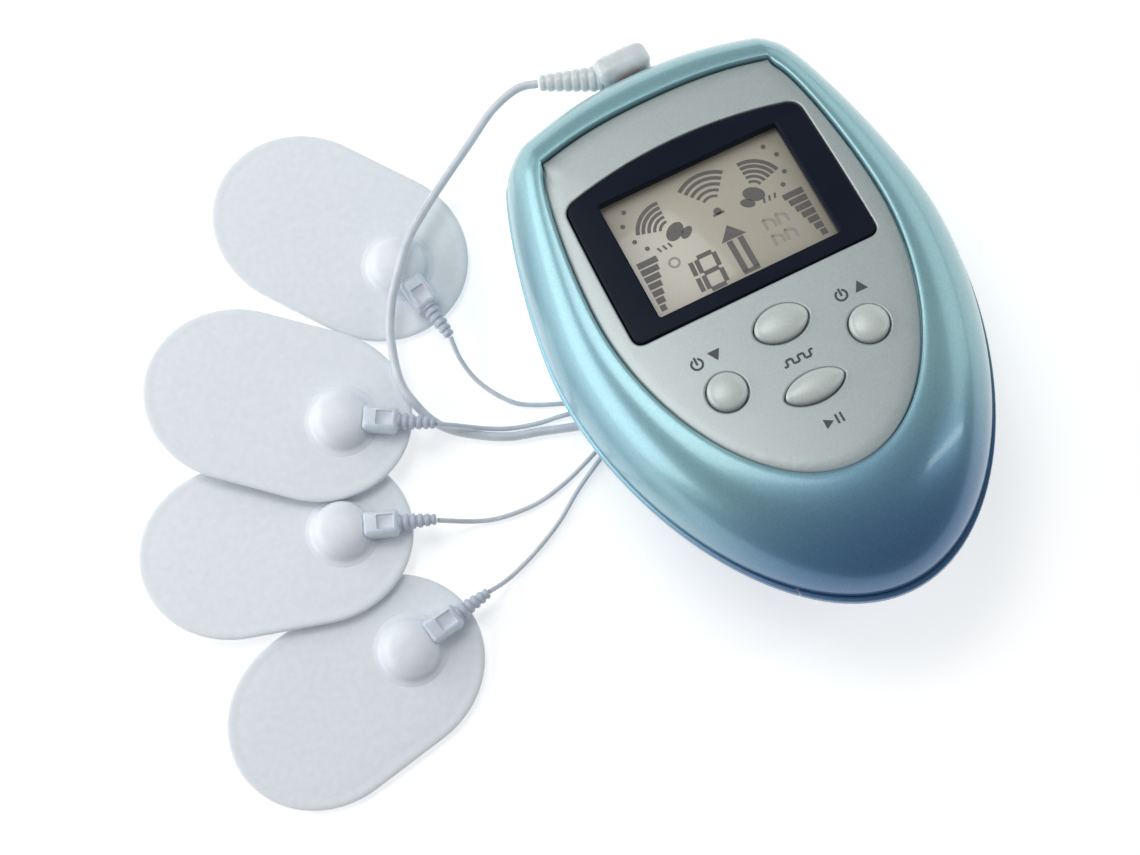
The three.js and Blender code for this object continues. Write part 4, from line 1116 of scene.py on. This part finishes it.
# ---- buttons
CAP_SIDE, CAP_CROWN = PLATE_TOP + 0.35, 1.3
CAP_FOOT = [(0.9, 19.5), (0.9, 20.5), (0, 20.55), (0, CAP_SIDE)]  # outset and height of the flange and side
CAP_STEPS = 13
for name, x, y, half_x, half_y, power in BUTTONS:
    rings = [flat_ring(oval(half_x + grow, half_y + grow, power) + (x, y), z) for grow, z in CAP_FOOT]
    for step in range(1, CAP_STEPS):
        t = math.pi / 2 * step / CAP_STEPS
        grow = 1 - (1 - math.cos(t)) * 0.999
        rings.append(flat_ring(oval(half_x * grow, half_y * grow, power) + (x, y),
                               CAP_SIDE + CAP_CROWN * math.sin(t) ** 0.85))
    cap = add(f"{name}_cap", *loft(rings), BUTTON_PEARL, name, case_place, 50)
    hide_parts(name)

# ---- finish on the CAD pieces that stay
KEPT = {
    NICKEL: ["plug_pin", "battery_springs", "battery_plate", *[f"connector_pin_{i}" for i in range(1, 5)],
             *[f"case_screw_{i}" for i in range(1, 5)]],
    BOARD_GREEN: ["main_board"], RUBBER_GREY: ["rubber_keypad", "zebra_strip"], FRAME_WHITE: ["lcd_frame"],
    CHIP_BLACK: ["jack_socket", "driver_chip", "buzzer"], COPPER: ["transformer"],
    CELL_SLEEVE: ["battery_1", "battery_2", "battery_3", "capacitor"],
    GEL: [f"pad_gel_{i}" for i in range(1, 5)],
}
for material, names in KEPT.items():
    for name in names:
        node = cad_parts[name]
        node.data.materials.clear()
        node.data.materials.append(material)

# ---- floor and light
FLOOR_REACH = 2500
FLOOR_DROP = 0.0002  # metres below the lowest point of the CAD
corners = [(x * FLOOR_REACH, y * FLOOR_REACH, 0) for x, y in ((-1, -1), (1, -1), (1, 1), (-1, 1))]
floor = add("floor", corners, [(0, 1, 2, 3)], FLOOR_WHITE, None)
floor.location.z = cad_bounds[0][2] - FLOOR_DROP

world = bpy.data.worlds.new("studio")
bpy.context.scene.world = world
world.use_nodes = True
put(world.node_tree.nodes["Background"], Color=(0.96, 0.98, 1.0, 1), Strength=0.30)


def area_light(name, place, size, power, colour=(1, 1, 1)):
    data = bpy.data.lights.new(name, "AREA")
    data.shape = "RECTANGLE"
    data.size, data.size_y = size
    data.energy = power
    data.color = colour
    lamp = bpy.data.objects.new(name, data)
    lamp.location = place
    lamp.rotation_euler = (LOOK_AT - Vector(place)).to_track_quat("-Z", "Y").to_euler()
    link(lamp)


# places and sizes in metres, power in watts
area_light("left_soft", (-0.58, 0.30, 0.24), (0.9, 0.42), power=3.3, colour=(0.98, 0.99, 1))
area_light("right_soft", (0.62, 0.22, 0.26), (0.7, 0.4), power=1.0, colour=(0.97, 1, 0.98))
area_light("top", (-0.10, 0.40, 0.75), (0.5, 0.4), power=2.1)
area_light("strip_right", (0.50, -0.15, 0.40), (0.03, 0.4), power=0.3, colour=(0.96, 1, 0.98))
# the colours are meant for this plain transform, which leaves their contrast alone
bpy.context.scene.view_settings.view_transform = "Standard"
